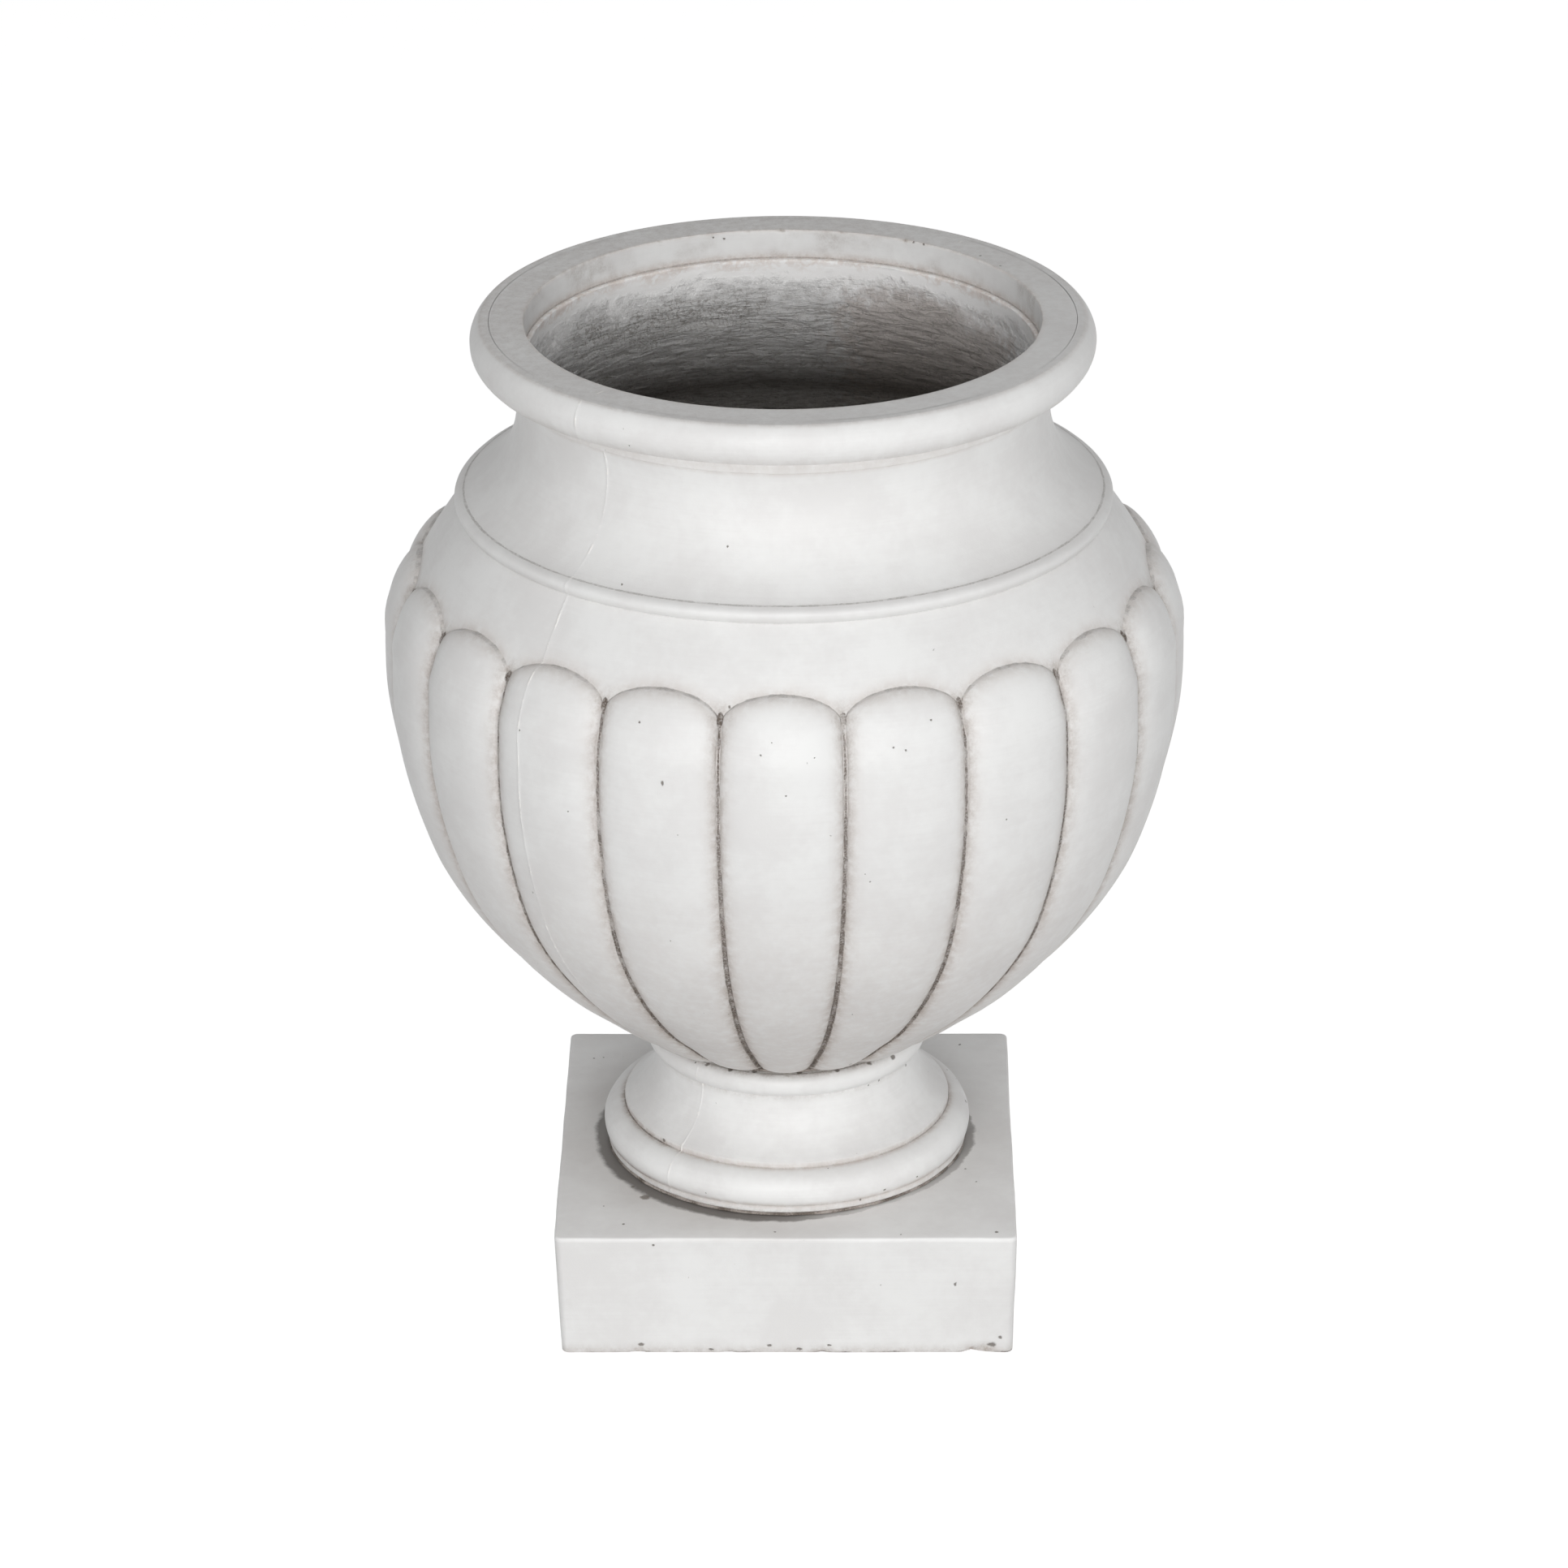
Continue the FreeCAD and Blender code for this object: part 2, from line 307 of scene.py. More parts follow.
def from_axis(points: Array) -> Array:
    """Distance of each place from the urn's axis."""
    return np.hypot(points[:, 0], points[:, 1])


def sink(points: Array, depth: Array) -> Array:
    """Moves places towards the urn's axis, level by level."""
    radius = np.maximum(from_axis(points), 1e-6)
    moved = points.copy()
    moved[:, :2] *= ((radius - depth) / radius)[:, None]
    return moved


def azimuths(points: Array) -> Array:
    """Degrees round the axis of each place: 0 at the front, 90 at the right."""
    return np.degrees(np.arctan2(points[:, 0], -points[:, 1]))


def round_table(degrees: Array, table: Sequence[tuple[float, float]]) -> Array:
    """Reads a table of azimuth and value, straight between its points and closed round the axis."""
    return np.interp(degrees, [a for a, v in table], [v for a, v in table], period=360)


def write_fields(piece: Piece, fields: Fields) -> None:
    """Stores one number per vertex under each name, for the finish to read."""
    for name, values in fields.items():
        layer = piece.data.attributes.new(name, "FLOAT", "POINT")
        layer.data.foreach_set("value", values.astype(np.float32))


def finish_piece(piece: Piece, material: Material, slot: Slot, *nodes: str) -> None:
    """Dresses a piece, lets it ride on the urn's one body, and says which frame nodes it stands for."""
    piece.data.materials.clear()
    piece.data.materials.append(material)
    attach(piece, BODY)
    if nodes:
        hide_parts(*nodes)
    stands_for = ", ".join(nodes) or "itself"
    log.info("%s: %d faces, stands for %s", piece.name, len(piece.data.polygons), stands_for)


# Materials


def linear(shade: str) -> tuple[float, float, float, float]:
    """Turns an sRGB hex shade to the linear colour that a shader takes."""
    parts = [int(shade[i:i + 2], 16) / 255 for i in (1, 3, 5)]
    return (*[p / 12.92 if p <= 0.04045 else ((p + 0.055) / 1.055) ** 2.4 for p in parts], 1.0)


def add_node(tree: Tree, kind: str, inputs: dict | None = None) -> bpy.types.Node:
    """Adds a node.

    Args:
        tree: The material's node tree.
        kind: Blender's name of the node.
        inputs: Properties by name and inputs by name or number, each with a value or a socket to link.

    Returns:
        The new node.
    """
    node = tree.nodes.new(kind)
    for key, value in (inputs or {}).items():
        if isinstance(value, Socket):
            tree.links.new(value, node.inputs[key])
        elif isinstance(key, str) and key in node.bl_rna.properties:
            setattr(node, key, value)
        else:
            node.inputs[key].default_value = value
    return node


def new_material(name: str) -> tuple[Material, Tree, Socket]:
    """Makes an empty node material, and gives it, its tree and the place on the object in metres."""
    material = bpy.data.materials.new(name)
    material.use_nodes = True
    tree = material.node_tree
    tree.nodes.clear()
    return material, tree, add_node(tree, "ShaderNodeTexCoord").outputs["Object"]


def fade(value: Socket, start: float, end: float, low: float = 0.0, high: float = 1.0) -> Socket:
    """Maps a value smoothly from one range onto another and holds it at the ends."""
    made = add_node(value.id_data, "ShaderNodeMapRange", {
        "interpolation_type": "SMOOTHSTEP", "Value": value, "From Min": start, "From Max": end,
        "To Min": low, "To Max": high,
    })
    return made.outputs["Result"]


def combine(how: str, first: Socket, second: Socket | float) -> Socket:
    """Combines two values with one operation."""
    sums = {"operation": how, 0: first, 1: second}
    return add_node(first.id_data, "ShaderNodeMath", sums).outputs[0]


def product(first: Socket, *others: Socket | float) -> Socket:
    """Multiplies a value by the others, one after the other."""
    for other in others:
        first = combine("MULTIPLY", first, other)
    return first


def weighted_sum(*parts: tuple[Socket, float]) -> Socket:
    """Adds values up, each with its weight."""
    total = product(*parts[0])
    for value, weight in parts[1:]:
        total = combine("ADD", total, product(value, weight))
    return total


def fray(value: Socket, ragged: Socket, low: float, reach: float) -> Socket:
    """Moves a value up and down with a pattern, so that what is drawn from it gets a ragged edge.

    Args:
        value: Socket with the value.
        ragged: Socket with the pattern, about 0.5.
        low: Value of the pattern that moves it down furthest; as far over 0.5 it moves up furthest.
        reach: How far the value moves each way.

    Returns:
        Socket with the moved value.
    """
    return combine("ADD", value, fade(ragged, low, 1 - low, -reach, reach))


def mix_shades(amount: Socket, first: str, second: str) -> Socket:
    """Mixes two shades of one finish: the first where the amount is 0, the second where it is 1."""
    shades = {"data_type": "RGBA", 0: amount, 6: linear(first), 7: linear(second)}
    return add_node(amount.id_data, "ShaderNodeMix", shades).outputs[2]


def lay_shades(base: Socket, *layers: tuple[Socket, str]) -> Socket:
    """Lays shades over a colour, one after the other, each as thickly as its amount says."""
    for amount, shade in layers:
        shades = {"data_type": "RGBA", 0: amount, 6: base, 7: linear(shade)}
        base = add_node(base.id_data, "ShaderNodeMix", shades).outputs[2]
    return base


def vector_step(how: str, vector: Socket, by: Sequence[float] | None = None) -> Socket:
    """Works on a vector, with a fixed second one where the operation takes it."""
    inputs = {"operation": how, 0: vector} | ({} if by is None else {1: by})
    made = add_node(vector.id_data, "ShaderNodeVectorMath", inputs).outputs
    return made["Value"] if how in ("LENGTH", "DOT_PRODUCT") else made[0]


def towards(place_of: Socket, azimuth: float) -> Socket:
    """How far a place lies from the axis towards an azimuth, counted in degrees from +X to +Y."""
    turned = math.radians(azimuth)
    return vector_step("DOT_PRODUCT", place_of, (math.cos(turned), math.sin(turned), 0))


def bend_places(place_of: Socket, scale: float, reach: float) -> Socket:
    """Shifts places unevenly, so that round marks drawn on them come out ragged.

    Args:
        place_of: Socket with the place on the object, in metres.
        scale: Number of waves in a metre.
        reach: Largest shift in millimetres.

    Returns:
        Socket with the shifted place.
    """
    tree = place_of.id_data
    waves = add_node(tree, "ShaderNodeTexNoise", {"Scale": scale, "Detail": 2.0, "Vector": place_of})
    shift = {"operation": "MULTIPLY_ADD", 0: waves.outputs["Color"], 1: (reach * MM,) * 3, 2: place_of}
    return add_node(tree, "ShaderNodeVectorMath", shift).outputs[0]


def seen_directly(tree: Tree) -> Socket:
    """Tells whether the camera looks at a surface, straight, in gloss or through something clear."""
    path = add_node(tree, "ShaderNodeLightPath").outputs
    in_sight = combine("MAXIMUM", path["Is Camera Ray"], path["Is Glossy Ray"])
    return combine("MAXIMUM", in_sight, path["Is Transmission Ray"])


def close_material(base: Socket, relief: Socket, roughness: Socket | float, ior: float) -> None:
    """Joins colour, relief and roughness into the surface and links it to the output.

    Args:
        base: Socket with the colour.
        relief: Socket with the height of the surface in metres.
        roughness: Roughness of the surface, one for all of it or a socket.
        ior: Refraction of the finish.
    """
    tree = base.id_data
    bump = add_node(tree, "ShaderNodeBump", {"Strength": 1.0, "Distance": 1.0, "Height": relief})
    surface = add_node(tree, "ShaderNodeBsdfPrincipled", {
        "IOR": ior, "Base Color": base, "Normal": bump.outputs[0], "Roughness": roughness,
    })
    add_node(tree, "ShaderNodeOutputMaterial", {"Surface": surface.outputs[0]})


def pattern(place_of: Socket, grain: float, detail: float = 3.0,
            stretch: tuple[float, float, float] = (1, 1, 1), shift: float = 0.0,
            roughness: float = 0.5, wave: float = 0.0) -> Socket:
    """Cloudy pattern with grains of a real size.

    Args:
        place_of: Socket with the place on the object, in metres.
        grain: Size of a grain in millimetres.
        detail: Number of finer layers.
        stretch: How many times longer the grains are along each axis.
        shift: Shift of the pattern, so that two patterns differ.
        roughness: Weight of the finer layers.
        wave: How much the grains are bent.

    Returns:
        Socket with a value about 0.5.
    """
    scale = [1 / (grain * MM * s) for s in stretch]
    mapped = add_node(place_of.id_data, "ShaderNodeMapping", {
        "Vector": place_of, "Scale": scale, "Location": (shift, -shift, shift),
    })
    return add_node(place_of.id_data, "ShaderNodeTexNoise", {
        "Vector": mapped.outputs[0], "Scale": 1.0, "Detail": detail, "Roughness": roughness,
        "Distortion": wave,
    }).outputs[0]


def pits(place_of: Socket, spacing: float, size: float, share: float,
         stretch: tuple[float, float, float] = (1, 1, 1)) -> Socket:
    """Small scattered pits left by air bubbles.

    Args:
        place_of: Socket with the place on the object, in metres.
        spacing: Mean distance between the bubbles in millimetres.
        size: Radius of a pit in millimetres.
        share: Share of the bubbles that show.
        stretch: How many times longer the pits are along each axis.

    Returns:
        Socket with 1 in a pit and 0 outside it.
    """
    scale = [1 / (spacing * MM * s) for s in stretch]
    tree = place_of.id_data
    mapped = add_node(tree, "ShaderNodeMapping", {"Vector": place_of, "Scale": scale})
    cells = add_node(tree, "ShaderNodeTexVoronoi", {"Vector": mapped.outputs[0], "Scale": 1.0})
    wide = size / spacing
    dot = fade(cells.outputs["Distance"], 0.45 * wide, 1.1 * wide, 1.0, 0.0)
    split = add_node(tree, "ShaderNodeSeparateColor", {"Color": cells.outputs["Color"]})
    return product(dot, combine("LESS_THAN", split.outputs[0], share))


def single_marks(place_of: Socket, marks: Marks) -> Socket:
    """Single chips and pin holes at known places, with ragged edges.

    Args:
        place_of: Socket with the place on the object, in metres.
        marks: For each mark its place and radius in millimetres, and how many times taller it is.

    Returns:
        Socket with 1 in a mark and 0 outside the marks.
    """
    reach = 1.8
    bent = bend_places(place_of, 480.0, reach)
    total = None
    for x, y, z, radius, tall in marks:
        centre = [(v + reach / 2) * MM for v in (x, y, z)]
        away = vector_step("SUBTRACT", bent, centre)
        flat = vector_step("MULTIPLY", away, (1, 1, 1 / tall))
        past = vector_step("LENGTH", flat)
        dot = fade(past, 0.55 * radius * MM, 1.15 * radius * MM, 1.0, 0.0)
        total = dot if total is None else combine("MAXIMUM", total, dot)
    return total


@dataclass(frozen=True)
class OffWhitePaint:
    """Off-white satin-matte masonry paint, brushed over moulded fibre cement and rubbed with a glaze.

    It gives the eye a soft warm white with faint level brush marks, grey-brown glaze left in the
    creases, and pin holes of air bubbles. Sizes and depths are in millimetres.
    """

    name: str = "off_white_masonry_paint"
    light: str = "#E8E8E7"
    deep: str = "#E0DFDE"
    glaze: str = "#93877D"
    warm_glaze: str = "#BFB1A8"
    crease: str = "#54483F"
    pit: str = "#6B645C"
    seam: str = "#F4F2EF"
    roughness: float = 0.5
    glazed_roughness: float = 0.75
    refraction: float = 1.48
    cloud_size: float = 45.0
    stroke_size: float = 1.6
    stroke_depth: float = 0.03
    mottle_size: float = 6.0
    break_size: float = 7.0
    grain_size: float = 1.3
    grain_depth: float = 0.06
    rag_size: float = 6.5
    pit_spacing: float = 16.0
    pit_size: float = 0.5
    pit_share: float = 0.4
    pit_depth: float = 0.5
    crease_depth: float = 0.2
    seam_height: float = 0.2
    parting: float | None = None
    marks: Marks = ()

    def material(self) -> Material:
        """Builds the paint.

        Returns:
            The finished material, which reads the fields soil, line, tone and warm of a piece.
        """
        material, tree, spot = new_material(self.name)
        clouds = pattern(spot, self.cloud_size, 3)
        strokes = pattern(spot, self.stroke_size, 4, (40, 40, 1), 3.1)
        mottle = pattern(spot, self.mottle_size, 5, shift=12.3, roughness=0.6)
        broken = pattern(spot, self.break_size, 3, (1, 1, 2.2), 6.4)
        grain = pattern(spot, self.grain_size, 2, shift=7.7)
        ragged = pattern(spot, self.rag_size, 4, shift=1.9, roughness=0.62)
        # soil carries the glaze in the creases and, on the rim's top, painted shade as well
        soil, line, tone, warm = [
            add_node(tree, "ShaderNodeAttribute", {"attribute_name": name}).outputs["Fac"]
            for name in ("soil", "line", "tone", "warm")
        ]
        tint = fade(weighted_sum((clouds, 0.64), (mottle, 0.24), (strokes, 0.12)), 0.36, 0.64)
        speckled = product(soil, fade(ragged, 0.3, 0.66, 0.35, 1.25),
                           fade(grain, 0.34, 0.66, 0.75, 1.2))
        tanned = product(warm, fade(ragged, 0.28, 0.62, 0.4, 1.0))
        drawn = product(fade(fray(line, ragged, 0.3, 0.28), 0.4, 0.95, 1.0, 0.0), tone,
                        fade(grain, 0.3, 0.6, 0.55, 1.0), fade(broken, 0.32, 0.54, 0.5, 1.0))
        bubbles = pits(bend_places(spot, 90.0, 10.0), self.pit_spacing, self.pit_size,
                       self.pit_share, (1, 1, 1.5))
        holes = product(bubbles, 0.5)
        if self.marks:
            holes = combine("MAXIMUM", holes, single_marks(spot, self.marks))
        base = lay_shades(mix_shades(tint, self.light, self.deep), (tanned, self.warm_glaze),
                          (speckled, self.glaze), (drawn, self.crease), (product(holes, 0.85), self.pit))
        relief = weighted_sum((strokes, self.stroke_depth * MM), (grain, self.grain_depth * MM),
                              (holes, -self.pit_depth * MM), (drawn, -self.crease_depth * MM))
        if self.parting is not None:
            mark = self.seam_mark(spot, ragged)
            base = lay_shades(base, (mark, self.seam))
            relief = combine("ADD", relief, product(mark, self.seam_height * MM))
        glazed = combine("ADD", speckled, drawn)
        sheen = fade(glazed, 0.0, 1.0, self.roughness, self.glazed_roughness)
        close_material(base, relief, sheen, self.refraction)
        return material

    def seam_mark(self, spot: Socket, ragged: Socket) -> Socket:
        """Broken pale line where the paint rides over the ridge between the mould's halves."""
        near = combine("ABSOLUTE", towards(spot, self.parting), 0.0)
        stripe = fade(near, 0.4 * MM, 1.1 * MM, 1.0, 0.0)
        return product(stripe, fade(ragged, 0.5, 0.62, 0.0, 0.8))


BOWL_MARKS: Marks = (
    (-89.5, -235.3, 490.6, 0.7, 1), (-75.7, -247.9, 455.2, 1, 1.8), (-34, -235.3, 500.7, 0.9, 1),
    (-15.1, -256, 477, 0.7, 1), (-8.1, -254.3, 484.9, 0.5, 1), (0.2, -259.2, 451, 0.7, 1),
    (18.2, -255.8, 475, 0.5, 1), (49.2, -248.4, 392.9, 0.5, 1), (52.2, -247.1, 386.8, 0.5, 1),
    (66.6, -247.4, 478.2, 0.8, 1), (74.1, -246.2, 475.9, 0.6, 1), (89.8, -234.7, 491, 0.8, 1),
    (-72.3, -230.1, 339.2, 0.5, 1), (-35.1, -174.4, 582.4, 0.8, 1), (-94.8, -174.4, 649.4, 0.6, 1),
    (-100.7, -174.7, 557.4, 0.7, 1), (41.6, -198.3, 271.5, 0.5, 1), (-135, -219.7, 423.5, 0.6, 1),
    (-165, -199, 469.6, 0.6, 1), (137.4, -218.4, 415.8, 0.6, 1), (41.5, -114, 194.2, 1.3, 1),
    (-45.4, 158.6, 666.4, 0.8, 1), (-38.4, 160.5, 664.9, 0.8, 1), (86, 140.8, 668.8, 1, 1),
    (92.4, 136.7, 668.8, 0.9, 1), (129.2, 112.2, 669.4, 1, 1), (141.6, 92.3, 669.4, 0.9, 1),
)
FOOT_MARKS: Marks = (
    (120.2, 0.7, 108.3, 1.2, 1), (108.5, 38.6, 113.2, 0.7, 1), (114.4, 30.2, 110.5, 0.7, 1),
    (79, -34.9, 153.8, 1.1, 1), (60.8, -61.2, 155.7, 0.7, 1), (53.8, -67.7, 155.5, 0.6, 1),
    (70, -57, 170.9, 2.3, 0.8), (-60, -65.9, 171.9, 0.8, 5), (-81.4, -71.4, 117.3, 1.4, 1),
    (-36.9, -78.7, 172.9, 1.8, 0.7), (-21, -81.9, 173.2, 2, 0.7), (8.3, -83.8, 173.4, 2.1, 0.7),
    (33, -80, 172.6, 1.9, 0.7), (54, -69, 172, 2.2, 0.7), (-52, -70, 172.4, 1.9, 0.8),
    (64, -103.2, 96.2, 1, 1), (85.7, -86.7, 97.1, 0.9, 1), (47.9, -109.8, 92.6, 0.9, 1),
    (26.6, -108.1, 114.6, 0.5, 1), (-53.4, -109.7, 97.9, 0.6, 1),
)


@dataclass(frozen=True)
class FibreLaminate:
    """Fibre mat laid by hand in thin cement.

    It gives the eye a rough matted surface with level brush strokes and folds, pale under the ledge, with a
    patch at the back left where the mat shows through and a tan patch at the back right. It is painted
    darker with the depth below the ledge and in the low places of its relief: painted shade where the light
    fades inside the bowl. Sizes and heights are in millimetres; a patch is the azimuth of its middle from
    +X to +Y and half of its width.
    """

    name: str = "hand_laid_fibre_cement"
    pale: str = "#F5F4F3"
    # painted shade: the mat's colour a little below the ledge
    grey: str = "#ECEAE8"
    # painted shade: the mat's colour deep in the bowl, where the light fades
    deep_shade: str = "#DED8D2"
    # painted shade laid in the low places of the relief
    hollow: str = "#989089"
    tan: str = "#CFBFB5"
    roughness: float = 0.85
    refraction: float = 1.45
    top_level: float = 649.4
    clump_size: float = 7.0
    fibre_size: float = 2.5
    fibre_height: float = 3.0
    grain_size: float = 1.9
    grain_height: float = 2.6
    patch_size: float = 40.0
    fold_size: float = 4.2
    fold_depth: float = 0.7
    bare_patch: tuple[float, float] = (120.0, 24.0)
    tan_patch: tuple[float, float] = (50.0, 26.0)

    def material(self) -> Material:
        """Builds the laminate, painted darker with the depth below the ledge as painted shade."""
        material, tree, spot = new_material(self.name)
        level = add_node(tree, "ShaderNodeSeparateXYZ", {0: spot}).outputs["Z"]
        below_top = {"operation": "SUBTRACT", 0: self.top_level * MM, 1: level}
        depth = add_node(tree, "ShaderNodeMath", below_top)
        clumps = pattern(spot, self.clump_size, 5, shift=2.2, roughness=0.65)
        fibres = pattern(spot, self.fibre_size, 4, (9, 9, 1), 5.5, 0.6, 0.6)
        grains = pattern(spot, self.grain_size, 5, shift=4.4, roughness=0.75)
        patches = pattern(spot, self.patch_size, 3, (1, 1, 0.6), 15.0)
        wrinkles = pattern(spot, self.fold_size, 3, (6, 6, 1), 7.5, 0.55, 0.8)
        uneven = fray(fray(depth.outputs[0], clumps, 0.25, 0.005), patches, 0.3, 0.006)
        rough = fade(uneven, 0.015, 0.036)
        left = product(self.sector(spot, clumps, *self.bare_patch),
                       fade(uneven, 0.036, 0.056, 1.0, 0.0))
        right = product(self.sector(spot, clumps, *self.tan_patch),
                        fade(uneven, 0.012, 0.03))
        crossing = combine("ABSOLUTE", combine("SUBTRACT", wrinkles, 0.5), 0.0)
        folds = product(fade(crossing, 0.0, 0.045, 1.0, 0.0), rough)
        cover = combine("ADD", grains, product(left, -0.045))
        # painted shade in the pits of the grain relief, stronger in the patch at the back left
        patch_and_pit_shade = product(fade(cover, 0.42, 0.45, 0.95, 0.0), rough,
                       fade(left, 0.0, 1.0, 0.28, 0.6))
        # painted shade in the low places of the level fibre strokes
        stroke_recess_shade = product(fade(fibres, 0.42, 0.46, 0.95, 0.0),
                         fade(uneven, 0.024, 0.05), 0.24)
        near_ledge = product(fade(uneven, 0.001, 0.006, 0.6, 0.0),
                             fade(clumps, 0.35, 0.6))
        # painted shade: the colour darkens with the depth below the ledge, standing in for the light that
        # fades inside the bowl
        shaded_by_depth = mix_shades(fade(uneven, 0.02, 0.07), self.pale, self.grey)
        # over the depth shade: tan patch, the deep painted shade, painted shade in the pits, strokes and
        # folds, and tan under the ledge
        base = lay_shades(shaded_by_depth, (product(right, 0.5), self.tan),
                          (fade(uneven, 0.06, 0.18), self.deep_shade), (patch_and_pit_shade, self.hollow),
                          (stroke_recess_shade, self.hollow), (product(folds, 0.42), self.hollow),
                          (near_ledge, self.tan))
        mat = weighted_sum((grains, self.grain_height * MM), (fibres, self.fibre_height * MM))
        relief = combine("SUBTRACT", product(mat, fade(uneven, 0.008, 0.03, 0.08, 1.0)),
                         product(folds, self.fold_depth * MM))
        close_material(base, relief, self.roughness, self.refraction)
        return material

    def sector(self, spot: Socket, ragged: Socket, azimuth: float, reach: float) -> Socket:
        """Part of the inside round one azimuth, with a ragged edge.

        Args:
                spot: Socket with the place on the object, in metres.
            ragged: Socket with the pattern that frays the edge.
            azimuth: Direction of the part's middle in degrees from +X to +Y.
            reach: Half of the part's width in degrees.

        Returns:
            Socket with 1 in the part and 0 outside it.
        """
        unit = vector_step("NORMALIZE", vector_step("MULTIPLY", spot, (1, 1, 0)))
        edge = math.cos(math.radians(reach))
        frayed = fray(towards(unit, azimuth), ragged, 0.25, 0.05)
        return fade(frayed, edge - 0.04, edge + 0.04)


@dataclass(frozen=True)
class BedMortar:
    """Squeezed-out cement mortar, sandy and half covered with glaze and paint."""

    name: str = "sandy_bed_mortar"
    pale: str = "#A8A09A"
    dark: str = "#655C54"
    roughness: float = 0.9
    refraction: float = 1.45
    smear_size: float = 12.0
    sand_size: float = 1.0
    sand_height: float = 0.6

    def material(self) -> Material:
        """Builds the mortar, with sand of about a millimetre."""
        material, _, spot = new_material(self.name)
        smears = pattern(spot, self.smear_size, 4, shift=3.3)
        sand = pattern(spot, self.sand_size, 2, shift=8.1)
        mixed = fade(weighted_sum((smears, 0.7), (sand, 0.3)), 0.38, 0.62)
        close_material(mix_shades(mixed, self.dark, self.pale),
                       product(sand, self.sand_height * MM), self.roughness, self.refraction)
        return material


@dataclass(frozen=True)
class StudioFloor:
    """Matte white studio floor, which shows white to the camera and keeps the urn's soft shadow."""

    name: str = "white_studio_floor"
    shade: str = "#CECECE"
    scuffed: str = "#CACACA"
    mottle_size: float = 60.0
    glow: float = 0.8

    def material(self) -> Material:
        """Builds the floor: a pale matte paint with a faint mottle, lit up for the camera only."""
        material, tree, spot = new_material(self.name)
        base = mix_shades(pattern(spot, self.mottle_size), self.shade, self.scuffed)
        matte = add_node(tree, "ShaderNodeBsdfDiffuse", {"Color": base})
        strength = product(seen_directly(tree), self.glow)
        glow = add_node(tree, "ShaderNodeEmission", {"Strength": strength})
        total = add_node(tree, "ShaderNodeAddShader", {0: matte.outputs[0], 1: glow.outputs[0]})
        add_node(tree, "ShaderNodeOutputMaterial", {"Surface": total.outputs[0]})
        return material


@dataclass(frozen=True)
class Crease:
    """A turned crease that holds glaze.

    Attributes:
        radius: Distance from the axis in millimetres.
        level: Height in millimetres.
        tone: Darkness of the thin line along it.
        soil: Strength of the soft glaze beside it.
        spread: Distance over which the soft glaze fades, in millimetres.
        warm: Strength of the tan glaze beside it.
        rounds: Azimuth and factor pairs that make it stronger or weaker round the axis.
    """

    radius: float
    level: float
    tone: float = 0.0
    soil: float = 0.0
    spread: float = 4.0
    warm: float = 0.0
    rounds: Table = ((0, 1),)


def crease_fields(points: Array, creases: Sequence[Crease]) -> Fields:
    """Works out the glaze fields of a turned piece.

    Args:
        points: Vertex places in millimetres.
        creases: The creases that hold glaze.

    Returns:
        The fields soil and warm from 0 to 1, line in millimetres to the nearest line, and tone.
    """
    radius, level, around = from_axis(points), points[:, 2], azimuths(points)
    soil, warm, tone = (np.zeros(len(points)) for _ in range(3))
    line = np.full(len(points), FAR)
    for crease in creases:
        away = np.hypot(radius - crease.radius, level - crease.level)
        factor = round_table(around, crease.rounds)
        soil = np.maximum(soil, crease.soil * factor * np.exp(-(away / crease.spread) ** 2))
        warm = np.maximum(warm, crease.warm * np.exp(-(away / crease.spread) ** 2))
        if crease.tone:
            nearer = away < line
            line = np.where(nearer, away, line)
            tone = np.where(nearer, crease.tone * factor, tone)
    return {"soil": soil, "warm": warm, "line": line, "tone": np.clip(tone, 0, 1)}


def rim_glaze_and_shade(points: Array) -> Array:
    """Thin glaze on the rim's flat top, with painted shade that darkens the top more at the left and the
    back.
    """
    strength = round_table(azimuths(points), RIM_GLAZE_AND_SHADE_ROUNDS)
    return np.where(points[:, 2] > RIM_TOP - 0.6, strength, 0)


# The urn's pieces

RIM_TOP = 669.4
LEDGE = 649.4
# strength of the glaze and painted shade on the rim's top, by azimuth
RIM_GLAZE_AND_SHADE_ROUNDS: Table = ((-90, 0.2), (0, 0.12), (90, 0.08), (180, 0.22))
CORE_BACK: Table = ((190.4, 664.0), (191.4, 656.2), (188.4, LEDGE))
CORE_CLEARANCE = 0.2


@dataclass
class Parting:
    """Parting plane of the two-part mould, and the ridge it leaves."""

    azimuth: float = -40.0
    ridge: float = 0.5
    half_width: float = 1.1

    def away(self, points: Array) -> Array:
        """Distance in millimetres of each place from the plane."""
        turned = math.radians(self.azimuth)
        return points[:, 0] * math.cos(turned) + points[:, 1] * math.sin(turned)

    def raise_ridge(self, points: Array, outer: Array) -> Array:
        """Lifts the outer vertices on the plane into a low, uneven ridge."""
        close = outer & (np.abs(self.away(points)) < 0.01)
        lift = np.zeros(len(points))
        for i in np.flatnonzero(close):
            lift[i] = self.ridge * (0.6 + 0.8 * noise.noise(Vector(points[i] / 14.0)))
        return sink(points, -np.clip(lift, 0, None))


@dataclass
class WholePiece:
    """Piece that is made whole and stands for one node of the frame."""

    slot: ClassVar[Slot] = Slot.PAINT
    node: str = ""
    piece: Piece | None = field(default=None, kw_only=True)

    def dress(self, finish: Material) -> None:
        """Gives the piece its finish."""
        finish_piece(self.piece, finish, self.slot, self.node)


